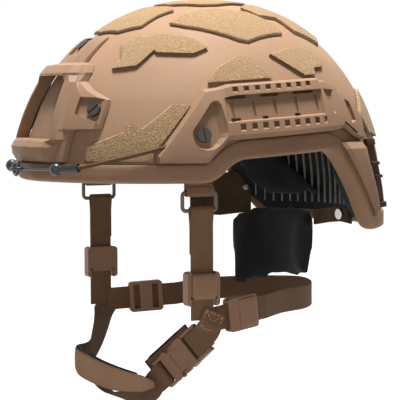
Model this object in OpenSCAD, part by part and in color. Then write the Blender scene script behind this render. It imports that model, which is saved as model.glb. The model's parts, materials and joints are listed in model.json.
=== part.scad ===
// Combat helmet, at real size in millimetres, as it sits on a head.
// +X is the wearer's left, -Y the front and +Z up. The origin is the middle of
// the head seat, level with the bottom of the front brim.

/* [Shell] */
// Half width of the shell over its outer skin
shell_half_w = 125; // [112:1:138]
// Reach of the shell forward of its middle
shell_front = 151; // [138:1:164]
// Reach of the shell behind its middle
shell_rear = 146; // [134:1:158]
// Height of the crown above the front brim
crown_h = 141; // [128:1:154]
// Depth below the brim at which the wall turns upright
dome_drop = 14; // [8:1:20]
// Fullness of the shell in plan, where 2 is an oval
fullness = 2.25; // [2:0.05:2.5]
// Thickness of the moulded shell
shell_t = 8; // [6:0.5:10]

/* [Rim] */
// Where the brim starts to rise into the ear cut
ear_start_y = -46; // [-52:1:-42]
// Front end of the top of the ear cut
ear_front_y = -29; // [-34:1:-24]
// Rear end of the top of the ear cut
ear_rear_y = 59; // [54:1:62]
// Height of the ear cut at its front end
ear_front_z = 17; // [12:1:20]
// Height of the ear cut at its rear end
ear_rear_z = 23; // [18:1:26]
// Where the rear edge of the ear cut meets the nape
nape_y = 104; // [98:1:110]
// Depth of the nape below the brim
nape_drop = 42; // [34:1:48]
// Height of the rubber edge trim
trim_h = 14.5; // [12:0.5:16]
// Thickness of the rubber edge trim
trim_t = 2.5; // [2:0.25:3.5]

/* [Front shroud] */
// Height of the shroud's window sill
sill_z = 33; // [30:1:36]
// Height of the shroud's window head
window_z = 82; // [76:1:86]
// Half width of the window at its sill
window_low = 38; // [32:1:42]
// Half width of the window at its head
window_high = 27; // [22:1:30]
// How far the window frame stands off the shell
frame_off = 10; // [8:0.5:12]
// How far the plain plate stands off the shell
plate_off = 5.5; // [4:0.5:7]
// Height of the upper shroud screw
top_screw_z = 104; // [101:1:107]
// Distance of each side shroud screw from the middle
wing_screw_x = 60; // [57:1:63]
// Height of each side shroud screw
wing_screw_z = 54; // [51:1:57]

/* [Side rails] */
// Height of the rail from edge to edge
rail_h = 42; // [36:1:48]
// How far the toothed ridges stand off the shell
ridge_off = 11; // [9:0.5:13]
// How far the panel between the ridges stands off the shell
panel_off = 6.5; // [5:0.5:8]
// Front end of the toothed ridges
teeth_start_y = -31; // [-34:1:-29]
// Pitch of the teeth
teeth_pitch = 9.6; // [8:0.2:10]
// Number of notches in the lower ridge
low_teeth = 9; // [5:1:9]
// Number of notches in the upper ridge
high_teeth = 8; // [5:1:8]
// Width of one notch along the rail
notch_w = 5; // [3:0.5:6]

/* [Fasteners] */
// Diameter of the screw heads
head_d = 11; // [9:0.5:13]
// Thickness of the screw heads
head_t = 3; // [2:0.25:4]
// Diameter of the screw shanks
shank_d = 5; // [4:0.5:6]
// Diameter of the nuts inside the shell
nut_d = 13; // [11:0.5:15]
// Clearance of a screw in its hole
screw_gap = 0.4; // [0.2:0.1:0.6]

/* [Loop patches] */
// Thickness of the loop pile with its backing
patch_t = 2; // [1.5:0.25:3]

/* [Liner] */
// Thickness of the comfort pads
pad_t = 17; // [12:1:22]
// Thickness of the ribbed liner
liner_t = 9; // [7:0.5:12]

/* [Harness] */
// Width of the narrow webbing
web_w = 19; // [16:0.5:20]
// Width of the webbing tabs at the shell
tab_w = 23; // [20:0.5:26]
// Thickness of one layer of webbing
web_t = 1.6; // [1.2:0.1:2]
// Middle of the rings, from front to back
ring_y = -51; // [-55:1:-47]
// Height of the middle of the rings
ring_z = -14; // [-18:1:-12]
// Outer length of a ring
ring_l = 31; // [28:1:34]
// Outer height of a ring
ring_h = 17; // [15:0.5:20]
// Diameter of the wire of a ring
wire_d = 3; // [2.5:0.25:3.5]
// Height of the junction of the left straps
junction_left_z = -100; // [-104:1:-96]
// Height of the junction of the right straps
junction_right_z = -108; // [-112:1:-104]

/* [Slide adjusters] */
// Width of a slide adjuster across the strap
adj_w = 27; // [25:0.5:30]
// Length of a slide adjuster along the strap
adj_l = 26; // [22:0.5:30]
// Thickness of a slide adjuster
adj_t = 12; // [11:0.5:14]

/* [Chin buckle] */
// Width of the buckle
buckle_w = 25; // [24:0.5:28]
// Length of the socket half
socket_l = 22; // [20:0.5:25]
// Thickness of the buckle
buckle_t = 9; // [8:0.5:10]

/* [Goggle bungee] */
// Diameter of the elastic cord
cord_d = 3; // [2.5:0.25:3.5]
// Diameter of the knurled ball on the hook
ball_d = 10; // [8:0.5:11]
// Diameter of the cord's end cap
cap_d = 6.4; // [5.5:0.2:7.5]
// Radius of a hook's eye, to the middle of its wire
eye_r = 5; // [4.5:0.25:6]
// Diameter of the hook's wire
hook_wire_d = 2.8; // [2.4:0.2:3.2]

/* [Hidden] */

// Gap between pieces that lie on each other
seat = 0.3;
dome_mid_y = 1.5;
dome_h = crown_h + dome_drop;

// The shell is an oval dome. Every piece on it uses these places, each at an
// offset o outward from the shell's outer skin.
function reach(y) = y < dome_mid_y ? shell_front : shell_rear;
function lift(z, o) = pow(max(0, z + dome_drop) / (dome_h + o), 2);
function side_pt(y, z, o) = [
    (shell_half_w + o) * sqrt(max(0, 1 - lift(z, o)
        - pow(abs(y - dome_mid_y) / (reach(y) + o), fullness))), y, z];
function front_pt(x, z, o) = [x, dome_mid_y - (shell_front + o)
    * pow(max(0, 1 - lift(z, o) - pow(x / (shell_half_w + o), 2)), 1 / fullness), z];
function rear_pt(x, z, o) = [x, dome_mid_y + (shell_rear + o)
    * pow(max(0, 1 - lift(z, o) - pow(x / (shell_half_w + o), 2)), 1 / fullness), z];
function top_pt(x, y, o) = [x, y, -dome_drop + (dome_h + o)
    * sqrt(max(0, 1 - pow(x / (shell_half_w + o), 2)
        - pow(abs(y - dome_mid_y) / (reach(y) + o), fullness)))];
// a is the plan angle: 0 at the wearer's left, -90 at the front
function ring_pt(a, z, o) = let (s = max(0, 1 - lift(z, o))) [
    (shell_half_w + o) * sqrt(s) * cos(a),
    dome_mid_y + sign(sin(a)) * ((sin(a) < 0 ? shell_front : shell_rear) + o)
        * pow(s * pow(sin(a), 2), 1 / fullness), z];

// The rim's height along the side, with its corners rounded by averaging
RIM = [[-400, 0], [ear_start_y, 0], [ear_front_y, ear_front_z],
    [ear_rear_y, ear_rear_z], [nape_y, -nape_drop], [400, -nape_drop]];
corner_step = 3.5;
function rim_at(y) = (lookup(y - 2 * corner_step, RIM) + lookup(y - corner_step, RIM)
    + lookup(y, RIM) + lookup(y + corner_step, RIM) + lookup(y + 2 * corner_step, RIM)) / 5;
function rim_z(a) = rim_at(ring_pt(a, -dome_drop, 0)[1]);
function rim_run(a) = norm(ring_pt(a + 0.5, 0, 0) - ring_pt(a - 0.5, 0, 0));
function rim_slope(a) = (rim_z(a + 0.5) - rim_z(a - 0.5)) / rim_run(a);
// A point d above the rim, square to it, in the shell's wall
function rim_pt(a, d, o) = let (m = rim_slope(a), k = sqrt(1 + m * m))
    ring_pt(a - d * m / k / rim_run(a), rim_z(a) + d / k, o);

HALF_STATIONS = [-90, -80, -70, -61, -52, -44, -37, -31, -26, -22, -19, -16.5, -14, -12, -10,
    -7, -2, 5, 11, 16, 19, 21.5, 24, 27, 30, 33.5, 37, 40.5, 44, 47.5, 51, 55, 61, 70, 80];
STATIONS = [each HALF_STATIONS, 90, for (i = [len(HALF_STATIONS) - 1:-1:1]) 180 - HALF_STATIONS[i]];

// A closed solid between two like grids of points. Seen from outside, rows run
// to the right and the points of a row run up.
module slab(outer, inner, keep = function(i, j) true) {
    m = len(outer);
    n = len(outer[0]);
    k = m * n;
    in_grid = function(i, j) i >= 0 && j >= 0 && i < m - 1 && j < n - 1 && keep(i, j);
    cells = [for (i = [0:m - 2], j = [0:n - 2]) if (keep(i, j)) [i, j]];
    faces = [for (c = cells) let (i = c[0], j = c[1], p = i * n + j) each [
        [p, p + 1, p + n + 1], [p, p + n + 1, p + n],
        [k + p, k + p + n + 1, k + p + 1], [k + p, k + p + n, k + p + n + 1],
        if (!in_grid(i - 1, j)) each [[p, k + p, k + p + 1], [p, k + p + 1, p + 1]],
        if (!in_grid(i + 1, j)) each
            [[p + n, p + n + 1, k + p + n + 1], [p + n, k + p + n + 1, k + p + n]],
        if (!in_grid(i, j - 1)) each [[p, p + n, k + p + n], [p, k + p + n, k + p]],
        if (!in_grid(i, j + 1)) each
            [[p + 1, k + p + 1, k + p + n + 1], [p + 1, k + p + n + 1, p + n + 1]]]];
    polyhedron([for (row = outer) each row, for (row = inner) each row], faces, convexity = 6);
}

// A closed solid along like rings of points, capped at its ends or joined up.
// Each ring turns to the left, seen looking back along the run.
module loft(rings, loop = false) {
    m = len(rings);
    n = len(rings[0]);
    last = loop ? m - 1 : m - 2;
    polyhedron([for (r = rings) each r], [
        for (i = [0:last], j = [0:n - 1]) let (a = i * n, b = (i + 1) % m * n, k = (j + 1) % n)
            each [[a + j, b + j, b + k], [a + j, b + k, a + k]],
        if (!loop) for (j = [1:n - 2]) each
            [[0, j, j + 1], [(m - 1) * n, (m - 1) * n + j + 1, (m - 1) * n + j]]],
        convexity = 8);
}

module mirror_pair() {
    children();
    mirror([1, 0, 0]) children();
}

// One aramid laminate moulding, open below. Its edge sits in the trim.
edge_gap = trim_t + seat;
// Levels up the wall, in degrees of the dome's rise
LEVELS = [26, 34, 42, 50, 58, 66, 74, 82];
low_level_z = 34;
function shell_column(a, o) = let (edge = rim_pt(a, edge_gap, o),
    b = a - edge_gap * rim_slope(a) / sqrt(1 + pow(rim_slope(a), 2)) / rim_run(a)) [
    edge, ring_pt(b, (edge[2] + low_level_z) / 2, o), ring_pt(b, low_level_z, o),
    for (p = LEVELS) ring_pt(b, -dome_drop + (dome_h + o) * sin(p), o)];
module shell_blank() {
    outer = [for (a = STATIONS) shell_column(a, 0)];
    inner = [for (a = STATIONS) shell_column(a, -shell_t)];
    n = len(outer[0]);
    m = len(outer);
    k = m * n + 1;
    polyhedron([for (c = outer) each c, [0, dome_mid_y, crown_h],
        for (c = inner) each c, [0, dome_mid_y, crown_h - shell_t]], [
        for (i = [0:m - 1], j = [0:n - 2]) let (p = i * n + j, q = (i + 1) % m * n + j) each [
            [p, p + 1, q + 1], [p, q + 1, q],
            [k + p, k + q + 1, k + p + 1], [k + p, k + q, k + q + 1]],
        for (i = [0:m - 1]) let (p = i * n + n - 1, q = (i + 1) % m * n + n - 1) each [
            [p, k - 1, q], [k + p, k + q, 2 * k - 1]],
        for (i = [0:m - 1]) let (p = i * n, q = (i + 1) % m * n) each [
            [p, q, k + q], [p, k + q, k + p]]], convexity = 6);
}

// A rubber channel pushed over the shell's edge and bonded all round
trim_play = 0.5;
function trim_ring(a) = let (out = trim_t + seat, in = -shell_t - trim_play) [
    rim_pt(a, 1, out), rim_pt(a, 0, out - 1), rim_pt(a, 0, in - trim_t + 1),
    rim_pt(a, 1, in - trim_t), rim_pt(a, trim_h, in - trim_t), rim_pt(a, trim_h, in),
    rim_pt(a, trim_t, in), rim_pt(a, trim_t, trim_play), rim_pt(a, trim_h, trim_play),
    rim_pt(a, trim_h, out)];
module edge_trim() color("sienna") loft([for (a = STATIONS) trim_ring(a)], loop = true);

// The outward normal of the shell at a point on or near it
function skin_normal(p) = let (y = p[1] - dome_mid_y, l = reach(p[1]), g = [
    2 * p[0] / pow(shell_half_w, 2),
    fullness / l * pow(abs(y) / l, fullness - 1) * sign(y),
    2 * max(0, p[2] + dome_drop) / pow(dome_h, 2)]) g / norm(g);
// Children stand on the skin at p: +Z outward, -X up the shell
module on_skin(p) {
    n = skin_normal(p);
    translate(p) rotate([0, acos(n[2]), atan2(n[1], n[0])]) children();
}

// Screws hold the shroud and the rails. Their shanks pass the shell into nuts.
TOP_SCREW = front_pt(0, top_screw_z, 0);
WING_SCREW = front_pt(wing_screw_x, wing_screw_z, 0);
rail_screw_y = -52;
rail_screw_z = 35;
RAIL_SCREW = side_pt(rail_screw_y, rail_screw_z, 0);
REAR_ARM_SCREW = side_pt(80, 48, 0);
REAR_RAIL_SCREW = side_pt(92, 13, 0);
top_floor = 2.2;
wing_floor = 2.8;
rail_floor = 3;
nut_t = 2.5;
nut_off = -shell_t - 1.1;
module shank_hole(p) on_skin(p) translate([0, 0, -shell_t - 8])
    cylinder(h = shell_t + 20, d = shank_d + 2 * screw_gap, $fn = 24);
module screw(p, floor_z, nut_at = nut_off, slot = -45) on_skin(p) {
    difference() {
        translate([0, 0, floor_z]) cylinder(h = head_t, d = head_d, $fn = 32);
        rotate([0, 0, slot]) translate([-head_d, -0.8, floor_z + head_t - 1.4])
            cube([2 * head_d, 1.6, 2]);
    }
    translate([0, 0, nut_at - nut_t]) cylinder(h = floor_z + 1 - nut_at + nut_t, d = shank_d, $fn = 24);
}
module nut(p, off = nut_off) on_skin(p) translate([0, 0, off - nut_t]) difference() {
    cylinder(h = nut_t, d = nut_d, $fn = 32);
    translate([0, 0, -1]) cylinder(h = nut_t + 2, d = shank_d + 0.1, $fn = 24);
}
module spot_face(p, floor_z) on_skin(p) {
    translate([0, 0, floor_z]) cylinder(h = 12, d = head_d + 1.5, $fn = 32);
    translate([0, 0, -4]) cylinder(h = 20, d = shank_d + 2 * screw_gap, $fn = 24);
}
module shell() color("#b3916c") difference() {
    shell_blank();
    shank_hole(TOP_SCREW);
    mirror_pair() {
        shank_hole(WING_SCREW);
        shank_hole(RAIL_SCREW);
        shank_hole(REAR_ARM_SCREW);
        shank_hole(REAR_RAIL_SCREW);
    }
}
module shroud_screws() color("#3a3634") {
    screw(TOP_SCREW, top_floor);
    mirror_pair() screw(WING_SCREW, wing_floor);
}
module shroud_nuts() color("silver") {
    nut(TOP_SCREW);
    mirror_pair() nut(WING_SCREW);
}
// The webbing tab is clamped between the shell and the rail nut
tab_off = -shell_t - trim_play - trim_t - seat - web_t / 2;
rail_nut_off = tab_off - web_t / 2 - 0.5;
module rail_screws() color("#3a3634") mirror_pair() screw(RAIL_SCREW, rail_floor, rail_nut_off, 8);
module rail_nuts() color("silver") mirror_pair() nut(RAIL_SCREW, rail_nut_off);

// The shroud is one moulding: a window frame with a sill lip below, a head
// above, a wing with a screw at each side and an arm up to the top screw.
// Each row: height, then half-widths and offsets from the middle outward.
function window_x(z) = window_high + (window_low - window_high)
    * (window_z - z) / (window_z - sill_z);
base_x = 49;
function base_row(z, lip) = let (w = window_low) [z, [0, w / 2, w - 4, w - 1, w + 3, w + 5, w + 8, base_x],
    [lip, lip, lip, max(plate_off, lip - 2), max(plate_off, lip - 4), plate_off, plate_off, plate_off - 1]];
function frame_row(z, out_x, wing_off) = let (w = window_x(z)) [z,
    [0, w / 2, w, w + 1, w + 7, w + 9, (w + 9 + out_x) / 2, out_x],
    [frame_off, frame_off, frame_off - 1, frame_off, frame_off, wing_off, wing_off, wing_off - 1.2]];
function arm_row(z, out_x, off) = [z, [0, 5, 9, 12, 15, 17, (17 + out_x) / 2, out_x],
    [off, off, off, off, off, off - 0.8, off - 1.6, off - 2.4]];
wing_off = plate_off + 1.5;
wing_low_z = 41;
wing_high_z = 77;
arm_x = 22;
arm_top_z = top_screw_z + 8;
SHROUD = [
    base_row(16, plate_off + 1), base_row(21, frame_off + 0.5), base_row(27, frame_off + 2.5),
    base_row(sill_z - 1.5, frame_off + 1), frame_row(sill_z, base_x, plate_off),
    frame_row(wing_low_z - 1.5, base_x, plate_off), frame_row(wing_low_z, 69.5, wing_off),
    frame_row(52, 68.5, wing_off), frame_row(63, 66.5, wing_off), frame_row(70, 51, wing_off),
    frame_row(wing_high_z, 39, wing_off),
    [window_z, [0, 12, 25, 27, 31, 33, 35.5, 38], [12, 12, 12, 11.5, 10.5, 6, 6, 4.5]],
    [window_z + 2, [0, 12, 25, 27, 31, 33, 35.5, 38], [12.5, 12.5, 12.5, 12.5, 11, 6.5, 6, 4.5]],
    [window_z + 8, [0, 11, 22, 25, 28, 30, 32, 34], [11.5, 11.5, 11.5, 11.5, 10, 6, 5.5, 4.5]],
    arm_row(window_z + 10, arm_x + 2, 5.5), arm_row(window_z + 16, arm_x + 1, 5.3),
    arm_row(top_screw_z, arm_x, 5), arm_row(arm_top_z - 3, arm_x - 1, 4.6),
    arm_row(arm_top_z, arm_x - 2, 3.6)];
shroud_cols = len(SHROUD[0][1]);
function shroud_side(i) = i < shroud_cols ? shroud_cols - 1 - i : i - shroud_cols + 1;
module nvg_shroud() color("#a98563") difference() {
    slab([for (i = [0:2 * shroud_cols - 2]) let (k = shroud_side(i), s = i < shroud_cols ? -1 : 1)
            [for (r = SHROUD) front_pt(s * r[1][k], r[0], r[2][k])]],
        [for (i = [0:2 * shroud_cols - 2]) let (k = shroud_side(i), s = i < shroud_cols ? -1 : 1)
            [for (r = SHROUD) front_pt(s * r[1][k], r[0], 2 * seat)]],
        keep = function(i, j) !(abs(i - shroud_cols + 1.5) < 2
            && SHROUD[j][0] >= sill_z && SHROUD[j + 1][0] <= window_z));
    spot_face(TOP_SCREW, top_floor);
    on_skin(TOP_SCREW) translate([-7, -8, top_floor]) cube([20, 16, 10]);
    mirror_pair() {
        spot_face(WING_SCREW, wing_floor);
        on_skin(WING_SCREW) translate([0, 0, wing_floor])
            linear_extrude(12) polygon([[-10, -14], [-9, 9], [11, 6.5], [4, -16]]);
    }
}

// The side rail: a front plate with a screw, two toothed ridges with a panel
// between them, and an arm round to the back. It stands just over the trim.
ear_slope = (ear_rear_z - ear_front_z) / (ear_rear_y - ear_front_y);
front_slope = ear_front_z / (ear_front_y - ear_start_y);
nape_slope = -(ear_rear_z + nape_drop) / (nape_y - ear_rear_y);
function over_trim(y, y0, z0, m) = z0 + m * (y - y0) + trim_h * sqrt(1 + m * m);
function trim_top(y) = max(-nape_drop + trim_h, min(
    max(trim_h, over_trim(y, ear_start_y, 0, front_slope)),
    over_trim(y, ear_front_y, ear_front_z, ear_slope),
    over_trim(y, ear_rear_y, ear_rear_z, nape_slope)));
rail_gap = 1;
function rail_low(y) = over_trim(y, ear_front_y, ear_front_z, ear_slope) + rail_gap;
RAIL_STEPS = [0, 0.07, 0.21, 0.315, 0.325, 0.38, 0.39, 0.65, 0.66, 0.725, 0.735, 0.81, 0.93, 1];
groove_off = 3;
RIDGES = [ridge_off - 4, ridge_off, ridge_off, ridge_off, groove_off, groove_off, panel_off, panel_off,
    groove_off, groove_off, ridge_off, ridge_off, ridge_off - 1, ridge_off - 5];
front_off = 7.5;
PLATE = [front_off - 3, front_off, for (i = [1:10]) front_off, front_off, front_off - 3];
SECTION = [ridge_off - 4, ridge_off - 1, for (i = [1:10]) ridge_off - 2, ridge_off - 2, ridge_off - 5];
ARM = [4, 7, for (i = [1:10]) 7, 6.5, 4];
function rail_row(y, low, high, offs) = [for (k = [0:len(RAIL_STEPS) - 1])
    [y, low + (high - low) * RAIL_STEPS[k], offs[k]]];
teeth_end_y = 55;
plate_tip_y = -87;
function plate_row(y) = rail_row(y, trim_top(y) + rail_gap, 22 + 1.2 * (y - plate_tip_y), PLATE);
function main_row(y) = rail_row(y, rail_low(y), rail_low(y) + rail_h, RIDGES);
RAIL = [each [for (y = [plate_tip_y, -80, -71, -62, -53, -47]) plate_row(y)],
    rail_row(-41, trim_top(-41) + rail_gap, rail_low(-41) + rail_h - 1, PLATE),
    rail_row(teeth_start_y - 4, trim_top(teeth_start_y - 4) + rail_gap, rail_low(-35) + rail_h, PLATE),
    each [for (y = [teeth_start_y, -18, -5, 9, 23, 37, 50]) main_row(y)], main_row(teeth_end_y),
    rail_row(teeth_end_y + 1, rail_low(56), rail_low(56) + rail_h - 3, SECTION),
    rail_row(67, rail_low(67) + 1, rail_low(67) + rail_h - 9, SECTION),
    rail_row(69, rail_low(69) + 2, 68, ARM), rail_row(74, 38, 66.5, ARM), rail_row(80, 33.5, 63.5, ARM),
    rail_row(87, 31, 60, ARM), rail_row(93, 31, 48, ARM)];
module rail_body() slab([for (r = RAIL) [for (p = r) side_pt(p[0], p[1], p[2])]],
    [for (r = RAIL) [for (p = r) side_pt(p[0], p[1], seat)]]);
// Cutters for the notches stand square to the skin
module notch(y, z) on_skin(side_pt(y, z, 0)) translate([-3.4, -notch_w / 2, ridge_off - 2.6])
    cube([6.8, notch_w, 8]);
low_notch_z = rail_h * 0.235;
high_notch_z = rail_h * 0.83;
module rail_left() color("#a98563") difference() {
    rail_body();
    aim(CORD[7] + (CORD[7] - CORD[8]) * 0.8, CORD[8]) cylinder(h = 1.8 * norm(CORD[8] - CORD[7]) + 1.5,
        d = cord_d + 1.2, $fn = 24);
    for (i = [0:low_teeth - 1]) let (y = teeth_start_y + 8 + i * teeth_pitch)
        notch(y, rail_low(y) + low_notch_z);
    for (i = [0:high_teeth - 1]) let (y = teeth_start_y + 6 + i * teeth_pitch)
        notch(y, rail_low(y) + high_notch_z);
    spot_face(RAIL_SCREW, rail_floor);
    on_skin(RAIL_SCREW) translate([0, 0, rail_floor]) hull() {
        cylinder(h = 12, r = 11, $fn = 32);
        translate([-24, 9, 0]) cylinder(h = 12, r = 4, $fn = 24);
    }
    on_skin(REAR_ARM_SCREW) translate([0, 0, -1]) cylinder(h = 5.5, d = shank_d + 2 * screw_gap, $fn = 24);
}
module rail_right() mirror([1, 0, 0]) rail_left();

// The rear rail runs down beside the ear cut, over the trim, and a channel
// with cross ribs lies behind it.
rear_in = trim_t + 2 * seat;
function rear_left_y(z) = ear_rear_y + (z - ear_rear_z - 8 * sqrt(1 + nape_slope * nape_slope)) / nape_slope;
function rear_right_y(z) = lookup(z, [[-31, 110], [-21, 109], [13, 97], [29, 93]]);
REAR_Z = [-31, -26, -14, 0, 14, 24, 29];
function rear_cap(z) = z == REAR_Z[0] || z == 29 ? -2.5 : 0;
REAR_COLS = [[0, 6], [0.15, 8.5], [0.7, 9], [0.85, 8.5], [1, 6]];
module rear_rail_left() color("#a98563") difference() {
    slab([for (c = REAR_COLS) [for (z = REAR_Z) let (a = rear_left_y(z), b = rear_right_y(z))
            side_pt(a + (b - a) * c[0], z, c[1] + rear_cap(z))]],
        [for (c = REAR_COLS) [for (z = REAR_Z) let (a = rear_left_y(z), b = rear_right_y(z))
            side_pt(a + (b - a) * c[0], z, rear_in)]]);
    for (z = [-18, -9, 0, 9]) on_skin(side_pt(rear_right_y(z), z, 0))
        translate([-2.5, -4, 6.5]) cube([5, 12, 8]);
    on_skin(REAR_RAIL_SCREW) translate([0, 0, -1]) cylinder(h = 7.5, d = shank_d + 2 * screw_gap, $fn = 24);
}
module rear_rail_right() mirror([1, 0, 0]) rear_rail_left();
CHANNEL_Z = [-24, -20, -19.5, -0.5, 0, 2, 2.5, 10, 10.5, 12.5, 13, 26, 26.5, 31];
function channel_high(z) = z <= -20 || (z >= 0 && z <= 2) || (z >= 10.5 && z <= 12.5) || z >= 26.5;
module rear_channel_left() color("#5d4331") slab(
    [for (c = [0, 0.5, 1]) [for (z = CHANNEL_Z)
        rear_side(rear_right_y(z) + 0.8 + 13 * c, z, channel_high(z) ? 7.5 : 5)]],
    [for (c = [0, 0.5, 1]) [for (z = CHANNEL_Z) rear_side(rear_right_y(z) + 0.8 + 13 * c, z, rear_in)]]);
function rear_side(y, z, o) = side_pt(y, z, o);
module rear_channel_right() mirror([1, 0, 0]) rear_channel_left();
rear_head_t = 2.2;
module rear_screw(p, tip) on_skin(p) {
    translate([0, 0, nut_off - rear_head_t]) cylinder(h = rear_head_t, d = head_d, $fn = 32);
    translate([0, 0, nut_off - 0.5]) cylinder(h = tip - nut_off + 0.5, d = shank_d, $fn = 24);
}
module rear_screws() color("silver") mirror_pair() {
    rear_screw(REAR_ARM_SCREW, 4);
    rear_screw(REAR_RAIL_SCREW, 6);
}

// Loop patches are fans of triangles round a middle point, laid on the skin
// by a place function. Their outlines are cut into steps that follow its curve.
function both(half) = [each half, for (i = [len(half) - 1:-1:0]) if (abs(half[i][0]) > 0.01)
    [-half[i][0], half[i][1]]];
function turned(pts) = [for (i = [len(pts) - 1:-1:0]) pts[i]];
function next(pts, i) = pts[(i + 1) % len(pts)];
function swing(pts, i = 0) = i >= len(pts) ? 0
    : pts[i][0] * next(pts, i)[1] - next(pts, i)[0] * pts[i][1] + swing(pts, i + 1);
function leftward(pts) = swing(pts) > 0 ? pts : turned(pts);
function stepped(pts, step) = [for (i = [0:len(pts) - 1]) let (a = pts[i], b = next(pts, i),
    n = max(1, ceil(norm(b - a) / step))) for (k = [0:n - 1]) a + (b - a) * k / n];
// Shares are the rings' places from the middle out; tops and foots their offsets
module fan(outline, mid, place, shares, tops, foots) {
    n = len(outline);
    m = len(shares);
    k = 1 + m * n;
    layer = function(offs) [place(mid[0], mid[1], offs[0]),
        for (r = [0:m - 1], p = outline) let (q = mid + (p - mid) * shares[r]) place(q[0], q[1], offs[r])];
    faces = [for (j = [0:n - 1]) let (j2 = (j + 1) % n) each [
        [0, 1 + j2, 1 + j], [k, k + 1 + j, k + 1 + j2],
        each [for (r = [0:m - 2]) let (a = 1 + r * n, b = a + n) each [
            [a + j, a + j2, b + j2], [a + j, b + j2, b + j],
            [k + a + j, k + b + j2, k + a + j2], [k + a + j, k + b + j, k + b + j2]]],
        let (b = 1 + (m - 1) * n) each [[k + b + j, b + j, b + j2], [k + b + j, b + j2, k + b + j2]]]];
    polyhedron([each layer(tops), each layer(foots)], faces, convexity = 4);
}
patch_foot = 0.6;
module patch(outline, mid, place, step = 14) color("#c0a27c") let (p = stepped(leftward(outline), step),
    far = max([for (q = p) norm(q - mid)]), m = ceil(far / step))
    fan(p, mid, place, [for (r = [1:m]) r / m], [for (r = [1:m]) patch_foot + patch_t],
        [for (r = [1:m]) patch_foot]);
// Shapes drawn on a shell of 125 by 141 follow it as it grows
side_share = shell_half_w / 125;
crown_share = crown_h / 141;
on_top = function(u, v, o) top_pt(u, v, o);
on_left = function(u, v, o) side_pt(u, v, o);
on_rear = function(u, v, o) rear_pt(-u, v, o);
function rail_top(y) = rail_low(y) + rail_h;
function plate_top(y) = 22 + 1.2 * (y - plate_tip_y);
rail_clear = 1.6;
module patch_front() patch(both([[0, front_pt(0, arm_top_z + rail_clear, 0)[1]], [25, front_pt(25, arm_top_z + rail_clear, 0)[1]], [38, -70], [34, -54], [33, -40], [26, -38],
    [10, -47], [0, -50]]), [0, -68], on_top);
module patch_crown() patch(both([[0, -40], [15, -37], [30, -15], [30, 0], [14, 32], [0, 36]]), [0, -4], on_top);
module patch_back() patch(both([[0, 44], [20, 36], [26, 26], [38, 16], [50, 26], [46, 43], [59, 53],
    [55, 77], [30, 88], [0, 92]]), [0, 75], on_top);
module patch_nape() patch(both([[0, 72], [60, 70], [67, 66], [86, 50], [84, 36], [60, 32], [0, 30]]),
    [0, 50], on_rear, 11);
module patches_upper() mirror_pair() patch([[50, -52], [44, -33], [42, -10], [46, 17], [58, 33], [68, 38], [80, 2],
    [78.5, -5.6], [70, -23], [59, -42]], [60, -5], on_top);
module patches_brow() mirror_pair() patch([for (p = [[-101, 87], [-87, 89], [-72, 101], [-71, 99], [-46, 98],
    [-33, 103], [-44, 111], [-66, 114], [-70, 111], [-77, 113], [-89, 105], [-94, 94]])
        [p[0], p[1] * crown_share]], [-72, 106 * crown_share], on_left);
module patches_side() mirror_pair() patch([[-42, rail_top(-42) + rail_clear], [-41, 78], [-30, 88], [-11, 97],
    [-4, 96], [12, rail_top(12) + rail_clear]], [-16, 84], on_left);
module patches_ear() mirror_pair() patch([[15.5, 98], [38, 103], [58, 104], [62, 100], [68, 93], [65, 88], [55, 87],
    [54, rail_top(54) + rail_clear], [43, rail_top(43) + rail_clear], [33, 87]], [48, 93], on_left);
module patches_cheek() mirror_pair() patch([[-128.5, 16.8], [-127, 27], [-116, 33.5], [-105, 38.5], [-102.5, 45],
    [-95.5, 45], [-93.5, 41], [-71, 59], [-58, plate_top(-58) + 2.6], [-88.5, plate_top(-88.5) + 2.6],
    [-88.5, 16.8]], [-93, 30], on_left);

// Webbing is a ribbon swept along a path, its width along a side vector
function unit(v) = v / norm(v);
function along(p, i) = unit(p[min(i + 1, len(p) - 1)] - p[max(i - 1, 0)]);
function bend(a, b, c, d, t) = 0.5 * (2 * b + (c - a) * t + (2 * a - 5 * b + 4 * c - d) * t * t
    + (3 * b - a - 3 * c + d) * t * t * t);
function smooth(p, n) = let (m = len(p) - 1) [each [for (i = [0:m - 1], k = [0:n - 1])
    bend(p[max(i - 1, 0)], p[i], p[i + 1], p[min(i + 2, m)], k / n)], p[m]];
module ribbon(path, sides, w, t = web_t) loft([for (i = [0:len(path) - 1])
    let (s = unit(sides[min(i, len(sides) - 1)]), n = unit(cross(along(path, i), s)))
        [path[i] + s * w / 2 - n * t / 2, path[i] + s * w / 2 + n * t / 2,
         path[i] - s * w / 2 + n * t / 2, path[i] - s * w / 2 - n * t / 2]]);
module tube(path, d, n = 8) loft([for (i = [0:len(path) - 1])
    let (t = along(path, i), u = unit(cross(t, abs(t[2]) < 0.9 ? [0, 0, 1] : [0, 1, 0])), v = cross(t, u))
        [for (k = [0:n - 1]) path[i] + d / 2 * (u * cos(360 * k / n) + v * sin(360 * k / n))]]);
// Children stand at p with +X along ex and +Y along ey
module on_axes(p, ex, ey) {
    ez = cross(ex, ey);
    translate(p) rotate([atan2(ey[2], ez[2]), -asin(ex[2]), atan2(ex[1], ex[0])]) children();
}

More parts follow.
